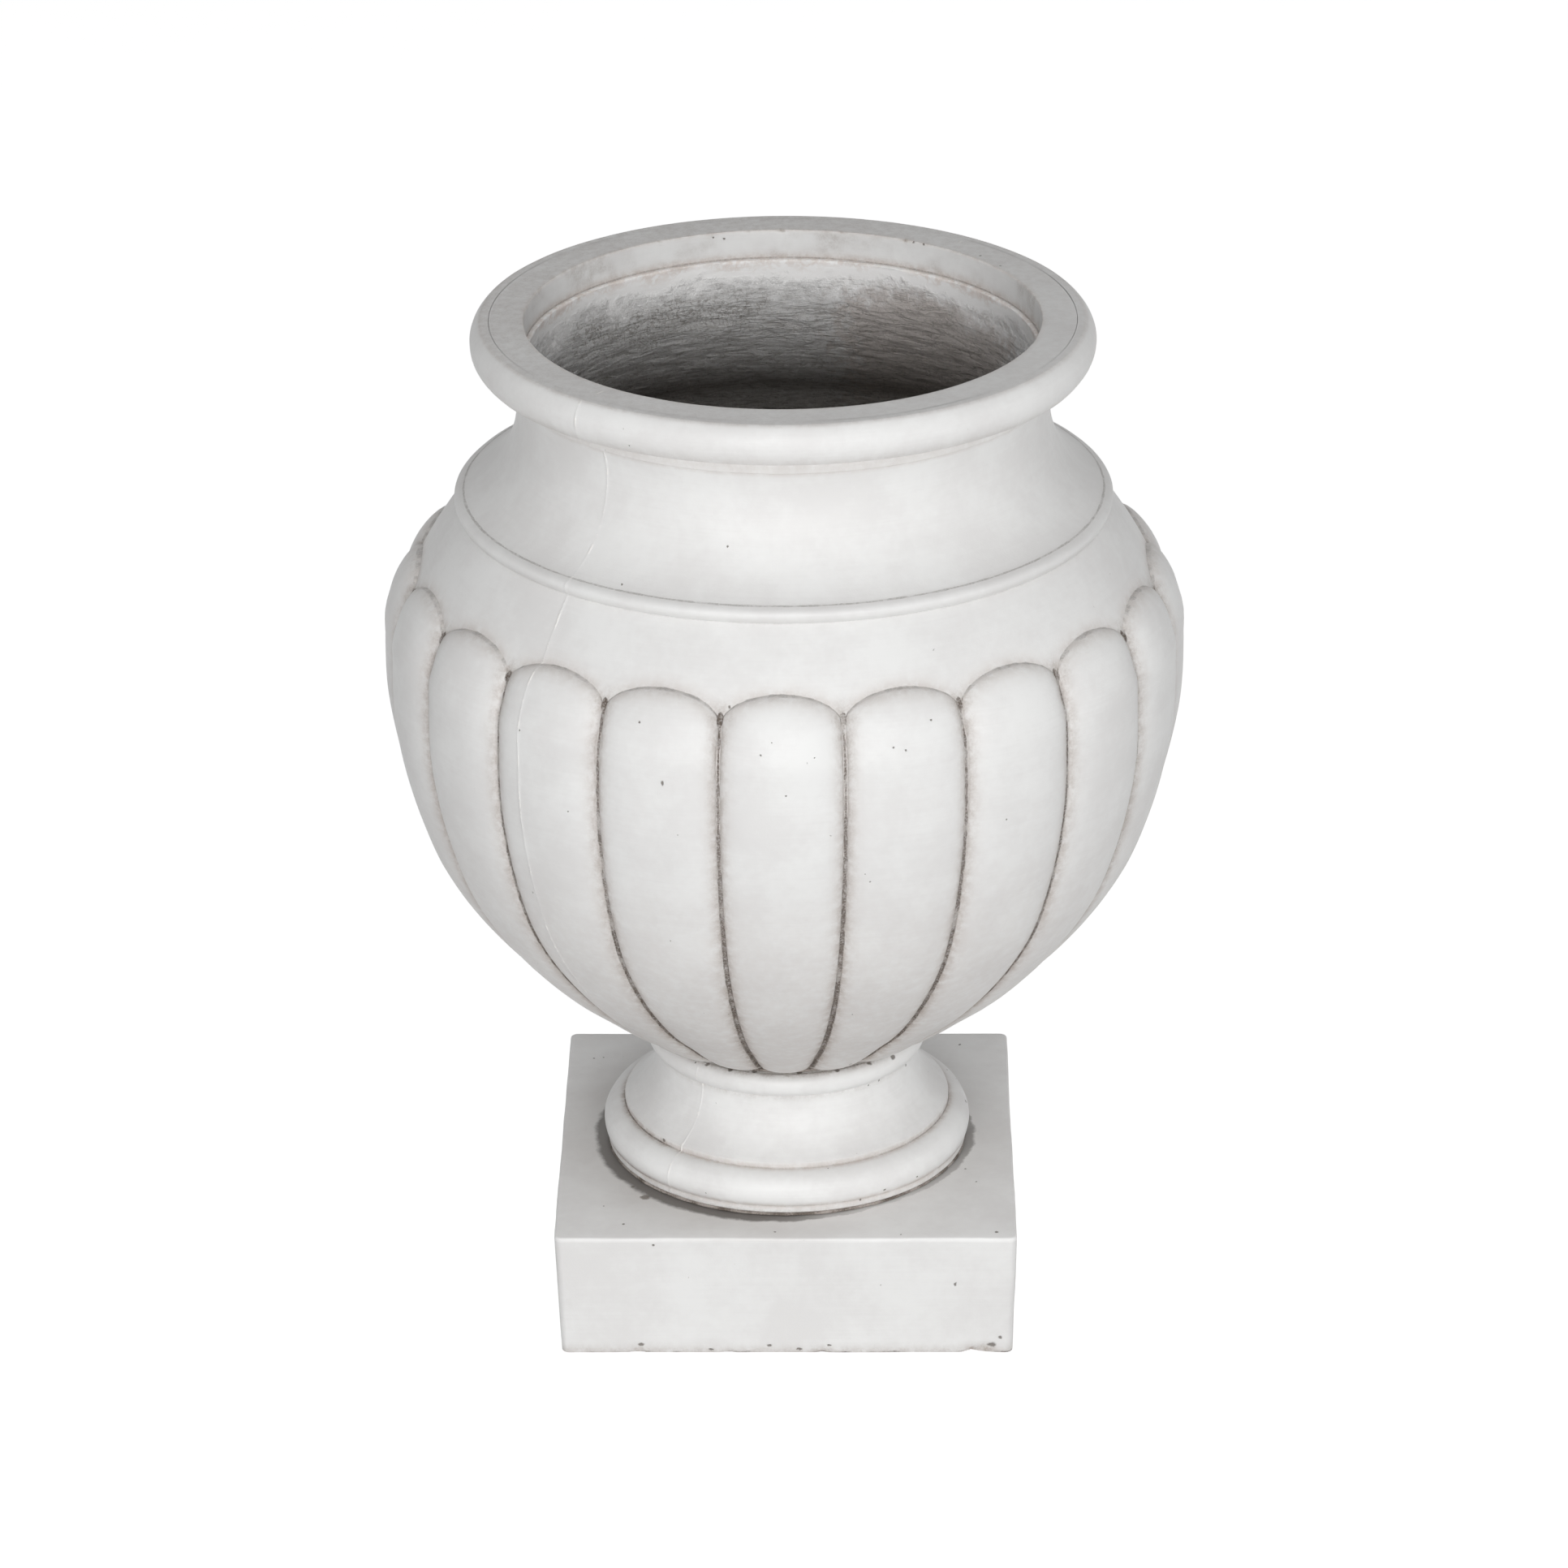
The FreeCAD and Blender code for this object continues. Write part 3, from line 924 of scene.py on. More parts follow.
@dataclass
class HalvedPiece:
    """Piece from the two-part mould: one whole form that is parted into two half shells."""

    title: ClassVar[str]
    parting: Parting
    halves: dict[Half, Piece] = field(default_factory=dict)

    def whole(self) -> Piece:
        """Models the whole form."""
        raise NotImplementedError

    def work_surface(self, piece: Piece) -> None:
        """Gives a half its ridge at the parting, its unevenness and its glaze."""
        raise NotImplementedError

    def build(self) -> None:
        """Builds both half shells from the whole form."""
        whole = self.whole()
        for half in Half:
            piece = copy_of(whole, f"{self.title}_shell_{half.name.lower()}")
            cut_half(piece, half, self.parting.azimuth, self.parting.half_width)
            self.work_surface(piece)
            round_over(piece)
            self.halves[half] = piece
        bpy.data.objects.remove(whole)

    def dress(self, paint: Material) -> None:
        """Paints both halves."""
        for half, piece in self.halves.items():
            finish_piece(piece, paint, Slot.PAINT, f"{self.title}_half_{half.name.lower()}")


@dataclass
class Bowl(HalvedPiece):
    """Lobed bowl with shoulder, bead, neck and rolled rim, in two half shells."""

    title: ClassVar[str] = "bowl"
    seat: float = 175.4
    seat_edge: float = 90.5
    drain: float = 12.0
    lobes: int = 20
    twist: float = -0.5
    strip_share: float = 0.968
    shoulder: tuple[float, float] = (242.0, 492.5)
    bead_foot: tuple[float, float] = (209.5, 545.0)
    bead_top: tuple[float, float] = (206.3, 555.0)
    neck_radius: float = 171.0
    neck_level: float = 611.4
    fillet_radius: float = 176.0
    fillet_level: float = 630.1
    soffit: tuple[float, float] = (194.8, 643.6)
    roll: tuple[float, float] = (200.0, 656.2)
    edge: tuple[float, float] = (193.5, 669.4)
    core_radius: float = 187.5
    core_lip: float = 191.0
    arch_rise: float = 15.5
    tip_level: float = 172.0
    tip_round: float = 10.0
    tuck_top: float = 195.0
    crown_depth: float = 8.0
    crown_swell: float = 2.0
    shoulder_bulge: float = 2.0
    bead_bulge: float = 4.5
    lobe_half_width: float = 37.8
    shoulder_lean: float = 1.18
    arch_from: float = 470.0
    hollow_from: float = 60.0
    crown_start: float = 455.0
    crown_rows: Table = (
        (175.4, 86.0), (177.0, 92.5), (179.0, 97.0), (185.5, 109.0), (195.5, 123.5), (209.5, 141.0),
        (227.5, 163.5), (249.4, 185.5), (275.3, 207.0), (311.5, 230.0), (347.4, 244.0), (383.3, 253.5),
        (419.5, 259.0), (445.4, 259.6), (455.0, 259.4),
    )
    depth_rows: Table = (
        (175.4, 7.0), (178.0, 12.0), (181.5, 12.5), (184.0, 10.5), (187.0, 9.2), (194.0, 8.4), (204.0, 7.8),
        (445.0, 7.8), (455.0, 8.0),
    )
    ground_rows: Table = (
        (445.0, 251.9), (455.0, 251.4), (470.0, 250.0), (480.0, 246.6), (487.0, 244.3), (492.5, 242.0),
    )
    inner_rows: Table = (
        (184.4, 96.5), (195.0, 108.9), (210.0, 126.1), (226.0, 145.5), (245.0, 165.5), (265.0, 183.2),
        (295.0, 205.7), (320.0, 219.5), (360.0, 233.7), (400.0, 242.8), (445.0, 246.0), (470.0, 244.1),
        (490.0, 236.6), (510.0, 226.0), (530.0, 213.2), (548.0, 203.2), (560.0, 188.2), (570.0, 178.9),
        (580.0, 172.6), (590.0, 168.5), (600.0, 166.0), (611.0, 165.0), (620.0, 165.6), (630.0, 167.6),
        (640.0, 166.9), (LEDGE, 165.5),
    )
    groove_reach_rows: Table = ((180, 1.3), (260, 1.1), (420, 0.5), (470, 0.2))
    groove_tone_rows: Table = (
        (176, 1.0), (200, 1.0), (260, 0.95), (340, 0.9), (440, 0.85), (484, 0.95), (492, 0.6), (500, 0.4),
    )
    groove_soil_rows: Table = (
        (176, 0.9), (190, 0.85), (240, 0.62), (320, 0.4), (420, 0.34), (470, 0.34), (492, 0.42),
    )
    groove_spread_rows: Table = ((176, 3.4), (240, 3.2), (400, 3.8), (492, 4.2))
    strip_soil_rows: Table = ((200, 1.0), (330, 0.55), (480, 0.6))
    warm_rows: Table = ((180, 0.34), (290, 0.2), (400, 0.0))

    def ground(self, level: Array) -> Array:
        """Radius of the surface that the lobes stand out from, up to the shoulder's foot."""
        low = smooth(level, self.crown_rows) - smooth(level, self.depth_rows)
        high = smooth(level, self.ground_rows)
        return np.where(level < self.ground_rows[0][0], low, high)

    def arch(self, out: Array) -> Array:
        """Level of the lobe's upper outline, for the share of the way out from its middle."""
        inside = np.clip(1 - np.abs(out / self.strip_share) ** 2, 0, 1)
        return self.shoulder[1] + self.arch_rise * inside ** (1 / 1.8)

    def swell(self, out: Array) -> Array:
        """Share of the lobe's rise at the share of the way out: full in the middle, round at its sides."""
        return np.clip(1 - np.abs(out / self.strip_share) ** 2.4, 0, 1) ** (1 / 1.8)

    def lobe_outs(self) -> Array:
        """Places of the lobe's columns across it, closer together towards the grooves."""
        side = (0.16, 0.32, 0.47, 0.6, 0.71, 0.8, 0.87, 0.92, 0.955, 0.98, 0.993, 1.0)
        outs = [s * self.strip_share for s in side]
        return np.array([-1.0] + [-s for s in reversed(outs)] + [0.0] + outs + [1.0])

    def lobe_rows(self) -> list[tuple[Array, Array]]:
        """Radius and level of each row across one lobe, from the seat to the rim's inner edge."""
        outs = self.lobe_outs()
        swell = self.swell(outs)
        rows = []
        low = [self.seat, 176.2, 177.2, 178.4, 179.8, 181.4, 183.2, 185.2, 187.6, 190.4, 193.6]
        for height in low + list(np.linspace(198, self.crown_start, 50)):
            level = np.full(len(outs), height)
            corner = np.clip((np.abs(outs) - 0.25) / 0.74, 0, 1)
            tip = self.tip_level + self.tip_round * (1 - np.sqrt(1 - corner ** 2))
            tuck = np.clip((self.tuck_top - level) / (self.tuck_top - tip), 0, 1)
            rise = smooth(level, self.depth_rows) * swell * (1 - tuck ** 4) ** (1 / 2.2)
            rows.append((self.ground(level) + rise, level))
        top = self.arch(outs)
        for share in (0.08, 0.16, 0.25, 0.34, 0.43, 0.52, 0.61, 0.69, 0.76, 0.82, 0.87, 0.91, 0.942,
                      0.965, 0.981, 0.991, 0.9965, 1.0):
            level = self.crown_start + share * (top - self.crown_start)
            depth = self.crown_depth + self.crown_swell * math.sin(min(share / 0.8, 1) * math.pi / 2)
            ground = np.where(level <= self.shoulder[1], self.ground(level), self.on_shoulder(level))
            rows.append((ground + depth * swell * (1 - share ** 6) ** (1 / 3), level))
        for share in (0.012, 0.03, 0.06, 0.1, 0.16, 0.24, 0.34, 0.46, 0.58, 0.7, 0.82, 0.92, 0.975):
            level = top + share * (self.bead_foot[1] - top)
            rows.append((self.on_shoulder(level), level))
        for radius, height in self.upper_outline():
            rows.append((np.full(len(outs), radius), np.full(len(outs), height)))
        return rows

    def on_shoulder(self, level: Array) -> Array:
        """Radius of the nearly straight shoulder between the lobes and the bead."""
        share = (level - self.shoulder[1]) / (self.bead_foot[1] - self.shoulder[1])
        chord = self.shoulder[0] + share * (self.bead_foot[0] - self.shoulder[0])
        return chord + 4 * self.shoulder_bulge * share * (1 - share)

    def upper_outline(self) -> Outline:
        """Outline of the bead, neck, fillet, soffit and rolled rim, up to the rim core."""
        run, rise = self.bead_top[0] - self.neck_radius, self.neck_level - self.bead_top[1]
        hollow = (run ** 2 + rise ** 2) / (2 * run)
        centre = (self.neck_radius + hollow, self.neck_level)
        low = 180 + math.degrees(math.asin(rise / hollow))
        high = 180 - math.degrees(math.asin((self.fillet_level - self.neck_level) / hollow))
        bead = arc_through(self.bead_foot, self.bead_top, self.bead_bulge, 10)
        neck = arc(centre, hollow, low, high, 26)
        return (bead + neck[1:] + [(self.fillet_radius - 0.6, self.fillet_level + 0.1),
                (self.fillet_radius, self.fillet_level + 0.7), (self.fillet_radius, self.soffit[1] - 4),
                (self.fillet_radius, self.soffit[1] - 0.5), (self.fillet_radius + 0.6, self.soffit[1])]
                + self.roll_outline() + [(self.core_lip, self.edge[1]), (self.core_radius, self.edge[1])])

    def roll_outline(self) -> Outline:
        """Outline of the rim's rounded side, with its upper edge eased."""
        (r0, z0), (r1, z1), (r2, z2) = self.soffit, self.roll, self.edge
        chords = np.array([[r1 - r0, z1 - z0], [r2 - r1, z2 - z1]])
        middles = [(r1 ** 2 - r0 ** 2 + z1 ** 2 - z0 ** 2) / 2, (r2 ** 2 - r1 ** 2 + z2 ** 2 - z1 ** 2) / 2]
        centre = np.linalg.solve(chords, np.array(middles))
        radius = math.hypot(r0 - centre[0], z0 - centre[1])
        start = math.degrees(math.atan2(z0 - centre[1], r0 - centre[0]))
        end = math.degrees(math.atan2(z2 - centre[1], r2 - centre[0]))
        side = arc(tuple(centre), radius, start, end, 22)
        return side[:-1] + [(r2 + 0.35, z2 - 0.55), (r2 - 0.2, z2 - 0.14), (r2 - 1.0, z2)]

    def outer_skin(self) -> Piece:
        """Models one lobe with the mouldings above it, repeats it round the axis and joins the lobes."""
        outs, rows = self.lobe_outs(), self.lobe_rows()
        deselect()
        bpy.ops.mesh.primitive_grid_add(x_subdivisions=len(outs) - 1, y_subdivisions=len(rows) - 1, size=1)
        skin = bpy.context.object
        flat = places(skin) * MM
        column = np.rint((flat[:, 0] + 0.5) * (len(outs) - 1)).astype(int)
        row = np.rint((flat[:, 1] + 0.5) * (len(rows) - 1)).astype(int)
        radii, levels = np.array([r for r, z in rows]), np.array([z for r, z in rows])
        turned = np.radians(self.twist + outs[column] * 180 / self.lobes)
        radius, level = radii[row, column], levels[row, column]
        place(skin, np.stack([radius * np.sin(turned), -radius * np.cos(turned), level], 1))
        open_whole(skin)
        bpy.ops.mesh.spin(steps=self.lobes - 1, angle=2 * math.pi * (self.lobes - 1) / self.lobes,
                          dupli=True, center=(0, 0, 0), axis=(0, 0, 1))
        switch("OBJECT")
        tidy_surface(skin)
        return skin

    def whole(self) -> Piece:
        """Joins the outer skin to the plain inner face, closed over the rim and under the seat."""
        skin = self.outer_skin()
        core_side = [(radius + CORE_CLEARANCE, level) for radius, level in CORE_BACK]
        inner = ([(self.core_radius, self.edge[1] - 1.0)] + core_side
                 + [(radius, level) for level, radius in reversed(self.inner_rows)]
                 + [(self.drain, self.inner_rows[0][0]), (self.drain, self.seat), (80.0, self.seat)])
        lining = turn("bowl_inner_face", inner, 160, closed=False)
        take(skin)
        lining.select_set(True)
        bpy.ops.object.join()
        for high in (True, False):
            edit(skin, "EDGE")
            uses: dict[tuple[int, int], int] = {}
            for polygon in skin.data.polygons:
                for key in polygon.edge_keys:
                    uses[key] = uses.get(key, 0) + 1
            level = places(skin)[:, 2]
            pick(skin, "edges", lambda edge: uses.get(tuple(sorted(edge.vertices)), 0) == 1
                 and (level[edge.vertices[0]] > 600) == high)
            bpy.ops.mesh.bridge_edge_loops()
            switch("OBJECT")
        tidy_surface(skin)
        return skin

    def glaze_fields(self, points: Array) -> Fields:
        """Works out where the glaze stays: in the grooves, round the lobes' tops and in the creases."""
        fields = crease_fields(points, (
            Crease(*self.bead_top, tone=0.42, soil=0.07, spread=2.4),
            Crease(*self.bead_foot, tone=0.12, soil=0.06, spread=2.6),
            Crease(self.fillet_radius - 1.5, self.fillet_level, tone=0.14, soil=0.08, warm=0.3, spread=2.0),
            Crease(self.fillet_radius + 9, self.soffit[1], soil=0.3, warm=0.5, spread=10.0),
            Crease(self.edge[0], self.edge[1], soil=0.1, warm=0.15, spread=1.8),
            Crease(self.seat_edge, self.seat, tone=0.85, soil=0.75, spread=6.0),
        ))
        radius, level = from_axis(points), points[:, 2]
        pitch = 360 / self.lobes
        out = (np.mod(azimuths(points) - self.twist + pitch / 2, pitch) - pitch / 2) / (pitch / 2)
        width = radius * math.radians(pitch / 2)
        belly = (level < self.bead_foot[1] - 6) & (radius > self.ground(np.minimum(level, 490)) * 0.86)
        below = level < self.shoulder[1]
        to_groove = np.abs(np.abs(out) - self.strip_share) * width
        to_arch = self.to_arch(out, level)
        past_middle = (1 - np.abs(out)) * self.lobe_half_width
        cusp = np.hypot(past_middle, self.shoulder_lean * (level - self.shoulder[1] - 3))
        peak = np.hypot(1.6 * past_middle, 0.75 * (level - self.shoulder[1] - 1))

        spread = straight(level, self.groove_spread_rows)
        in_groove = straight(level, self.groove_soil_rows) * np.exp(-(to_groove / spread) ** 1.5)
        round_arch = np.where(level > self.arch_from, 0.16 * np.exp(-(to_arch / 2.6) ** 2), 0)
        soil = np.where(below, in_groove, 0)
        for more in (0.5 * np.exp(-(cusp / 7.0) ** 2), round_arch):
            soil = np.maximum(soil, more)
        in_strip = (np.abs(out) > self.strip_share) & below
        soil = np.where(in_strip, soil * straight(level, self.strip_soil_rows), soil)

        reach = straight(level, self.groove_reach_rows)
        groove_line = np.where(below, np.maximum((1 - np.abs(out)) * width - reach, 0), FAR)
        line = np.minimum(groove_line, np.where(level > self.arch_from, to_arch + 0.35, FAR))
        line = np.minimum(line, np.maximum(peak - 2.4, 0))
        tone = np.where(peak < 4, 0.95, straight(level, self.groove_tone_rows))
        wins = belly & (line < fields["line"])

        near = np.where(below, to_groove, to_arch)
        warm = straight(level, self.warm_rows) + 0.25 * np.exp(-(near / 6.5) ** 2)
        soil = np.where(belly, np.maximum(soil, fields["soil"]), fields["soil"])
        # the soil field also takes the rim's glaze and painted shade
        return {
            "soil": np.maximum(soil, rim_glaze_and_shade(points)), "warm": np.where(belly, warm, fields["warm"]),
            "line": np.where(wins, line, fields["line"]), "tone": np.where(wins, tone, fields["tone"]),
        }

    def to_arch(self, out: Array, level: Array) -> Array:
        """Distance in millimetres to the line round the lobe's top.

        Args:
            out: Share of the way from the lobe's middle to the groove, for each place.
            level: Level of each place.

        Returns:
            The distances, measured along the leaning shoulder.
        """
        shares = np.linspace(-1, 1, 81)
        nearest = np.full(len(out), 99.0)
        for share, height in zip(shares, self.arch(shares)):
            across = (out - share) * self.lobe_half_width
            nearest = np.minimum(nearest, np.hypot(across, self.shoulder_lean * (level - height)))
        return nearest

    def work_surface(self, piece: Piece) -> None:
        """Gives a half its ridge at the parting, its unevenness and its glaze."""
        points = places(piece)
        radius = from_axis(points)
        outer = radius > straight(points[:, 2], self.inner_rows) + 1.5
        fields = self.glaze_fields(points)
        moved = self.parting.raise_ridge(points, outer & (points[:, 2] < RIM_TOP - 1.4))
        place(piece, sink(moved, np.where(radius > self.hollow_from, hand_wave(points, 0.45, 55, 1.7), 0)))
        write_fields(piece, fields)


@dataclass
class RimCore(WholePiece):
    """Solid lip with the flat top and the smooth band inside the mouth."""

    node: str = "rim_core"
    mouth: float = 165.0
    join: float = 187.5
    top: float = RIM_TOP
    ledge: float = LEDGE
    nicks: tuple[tuple[float, float, float], ...] = (
        (-180.0, 2.2, 1.1), (-172.0, 1.4, 0.6), (166.0, 1.6, 0.7), (151.0, 1.8, 0.8), (-151.0, 1.3, 0.7),
    )

    def build(self) -> None:
        """Turns the core and knocks the nicks into its inner edge."""
        band = [(self.mouth + 0.25, self.ledge), (self.mouth, self.ledge + 0.9)]
        band += [(self.mouth, level) for level in np.linspace(self.ledge + 2, self.top - 2, 10)]
        band += [(self.mouth + out, self.top - drop) for out, drop in ((0.12, 0.7), (0.5, 0.15), (1.3, 0))]
        flat = [(radius, self.top) for radius in np.linspace(self.mouth + 4, self.join, 9)]
        self.piece = turn("rim_lip", band + flat + list(CORE_BACK), 420)
        points = places(self.piece)
        radius, around = from_axis(points), azimuths(points)
        fields = crease_fields(points, (
            Crease(self.mouth, self.top, soil=0.12, warm=0.45, spread=1.3),
            Crease(self.mouth, self.ledge + 0.5, tone=0.45, soil=0.3, warm=0.5, spread=3.5),
        ))
        edge = np.hypot(radius - self.mouth, points[:, 2] - self.top)
        depth = np.zeros(len(points))
        for azimuth, width, deep in self.nicks:
            turned = np.abs((around - azimuth + 180) % 360 - 180) * math.radians(self.mouth)
            depth = np.maximum(depth, deep * np.exp(-(turned / width) ** 2) * np.exp(-(edge / 1.6) ** 2))
        patches = ease(0.45, 0.85, hand_wave(points, 1.0, 26, 9.4))
        band_soil = np.where(radius < self.mouth + 1, 0.26 * patches, 0)
        # the soil field takes the band's dirt, the rim's glaze and painted shade, and the nicks
        for more in (band_soil, rim_glaze_and_shade(points), np.clip(depth, 0, 0.8)):
            fields["soil"] = np.maximum(fields["soil"], more)
        wave = np.where(radius < self.mouth + 1, hand_wave(points, 0.5, 30, 6.1) - 0.25, 0)
        lifted = sink(points, -depth + wave)
        lifted[:, 2] -= 0.5 * depth
        place(self.piece, lifted)
        write_fields(self.piece, fields)
        round_over(self.piece)


@dataclass
class BowlLining(WholePiece):
    """Fibre laminate over the whole inside of the bowl, rough where the brush left it."""

    slot: ClassVar[Slot] = Slot.LAMINATE
    node: str = "bowl_lining"
    bowl: Bowl = field(kw_only=True)
    wall: float = 3.5
    top: float = LEDGE
    steps: int = 780

    def build(self) -> None:
        """Turns the lining and roughens its inner face, more with depth."""
        runs = ((188, 470, 24), (476, 560, 24), (562, 648.6, 76))
        levels = np.concatenate([np.linspace(*run) for run in runs])
        outer = smooth(levels, self.bowl.inner_rows)
        slope = np.gradient(outer, levels)
        tilt = 1 / np.sqrt(1 + slope ** 2)
        inner_radius, inner_level = outer - self.wall * tilt, levels + self.wall * slope * tilt
        keep = np.concatenate([[True], np.diff(inner_level) > 0.3])
        inner = [(r, z) for r, z, k in zip(inner_radius, inner_level, keep) if k and z < self.top - 0.6]
        drain, floor_level = self.bowl.drain, self.bowl.inner_rows[0][0] + 0.2
        floor = [(drain, floor_level), (drain, floor_level + self.wall - 0.2)]
        lip = [(162.15, self.top - 0.5), (162.9, self.top - 0.05), (165.0, self.top - 0.05)]
        back = [(r - 0.2, z) for z, r in reversed(self.bowl.inner_rows[1:-1:2])]
        self.piece = turn("bowl_mat_lining", floor + inner + lip + back, self.steps)
        points = places(self.piece)
        radius, level = from_axis(points), points[:, 2]
        inside = radius < straight(level, self.bowl.inner_rows) - 1.6
        rough = 0.15 + 1.05 * ease(8, 32, self.top - level)
        lumps = np.array([self.brushed(Vector(p)) if i else 0.0 for p, i in zip(points, inside)])
        around = azimuths(points)
        edge = np.where(level > self.top - 1, 0.5 * np.sin(around / 2.3) * np.sin(around / 5.1), 0)
        place(self.piece, sink(points, np.where(inside, rough * lumps * 0.9 + edge, 0)))
        round_over(self.piece, 60)

    def brushed(self, spot: Vector) -> float:
        """Relief of the mat at one place: lumps, fine fibre ends and bent level brush strokes."""
        bend = 5.0 * noise.noise(spot / 27.0)
        stroke = noise.noise(Vector((spot.x / 34, spot.y / 34, (spot.z + bend) / 2.9)))
        lump = noise.fractal(spot / 9.0, 0.9, 2.1, 3)
        return 0.75 * lump + 0.3 * noise.noise(spot / 2.6) + 0.8 * stroke


@dataclass
class Foot(HalvedPiece):
    """Turned foot with base fillet, torus, scotia and collar, in two halves."""

    title: ClassVar[str] = "foot"
    base: float = 88.2
    base_radius: float = 120.0
    base_top: float = 93.0
    torus: tuple[float, float] = (108.5, 100.98)
    torus_radius: float = 14.0
    lip_level: float = 119.5
    scotia_centre: tuple[float, float] = (127.8, 156.0)
    scotia_radius: float = 41.3
    collar: tuple[float, float] = (85.0, 165.2)
    collar_roll: float = 8.0
    top: float = 173.2
    neck: float = 86.5
    left: Table = (
        (-180, 0.5), (-118, 0.7), (-105, 1.5), (-48, 1.4), (-42, 0.5), (0, 0.35), (40, 0.55), (80, 1.0),
        (110, 0.7),
    )

    def outline(self) -> Outline:
        """Closed outline of the foot's wall."""
        low = math.degrees(math.asin((self.base_top - self.torus[1]) / self.torus_radius))
        sweep = math.degrees(math.asin((self.scotia_centre[1] - self.lip_level) / self.scotia_radius))
        dip = math.degrees(math.acos((self.neck - self.collar[0]) / self.collar_roll))
        outer = [(self.base_radius - 0.5, self.base), (self.base_radius, self.base + 0.5),
                 (self.base_radius, self.base + 2.4), (self.base_radius, self.base_top - 0.2)]
        outer += arc(self.torus, self.torus_radius, low, 90, 30)
        outer += [(self.torus[0], self.lip_level - drop) for drop in (4.3, 2.2, 0.5)]
        outer += arc(self.scotia_centre, self.scotia_radius, 180 + sweep, 180, 30)[1:]
        outer += arc(self.collar, self.collar_roll, -dip, 90, 20)
        inner = [(75.5, self.top), (75.5, 150.0), (80.0, 135.0), (92.0, 118.0), (109.0, 94.0),
                 (109.0, self.base)]
        return outer + inner

    def whole(self) -> Piece:
        """Turns the whole foot."""
        return turn("foot_whole", self.outline(), 300)

    def work_surface(self, piece: Piece) -> None:
        """Gives a half its ridge at the parting, its unevenness and its glaze."""
        points = places(piece)
        outer = from_axis(points) > 76.5
        on_wall = outer & (points[:, 2] < self.top - 1.2) & (points[:, 2] > self.base + 0.8)
        moved = self.parting.raise_ridge(points, on_wall)
        place(piece, sink(moved, hand_wave(points, 0.5, 34, 2.9)))
        write_fields(piece, crease_fields(points, (
            Crease(108.3, 115.3, tone=0.5, soil=0.36, warm=0.5, spread=2.8, rounds=self.left),
            Crease(self.neck, 157.0, soil=0.22, spread=3.2),
            Crease(self.base_radius, self.base_top, tone=0.4, soil=0.16, warm=0.5, spread=2.4,
                   rounds=self.left),
            Crease(self.base_radius, self.base, tone=0.35, soil=0.3, spread=2.2),
            Crease(self.neck, self.top, tone=0.6, soil=0.5, spread=3.2),
        )))


@dataclass
class MortarBed(WholePiece):
    """Thin ring of mortar, squeezed out unevenly where one piece stands on another."""

    slot: ClassVar[Slot] = Slot.MORTAR
    name: str = "mortar_ring"
    inner: float = 0.0
    outer: float = 0.0
    low: float = 0.0
    high: float = 0.0
    steps: int = 260

    def build(self) -> None:
        """Turns the ring and presses its edge in and out."""
        middle = (self.low + self.high) / 2
        outline = [(self.inner, self.low), (self.outer - 0.8, self.low), (self.outer - 0.1, self.low + 0.5),
                   (self.outer, middle), (self.outer - 0.2, self.high - 0.5), (self.outer - 0.9, self.high),
                   (self.inner, self.high)]
        self.piece = turn(self.name, outline, self.steps)
        points = places(self.piece)
        at_edge = from_axis(points) > self.outer - 2
        squeeze = np.where(at_edge, hand_wave(points, 0.9, 13, 3.7), 0)
        place(self.piece, sink(points, squeeze))
        round_over(self.piece, 50)


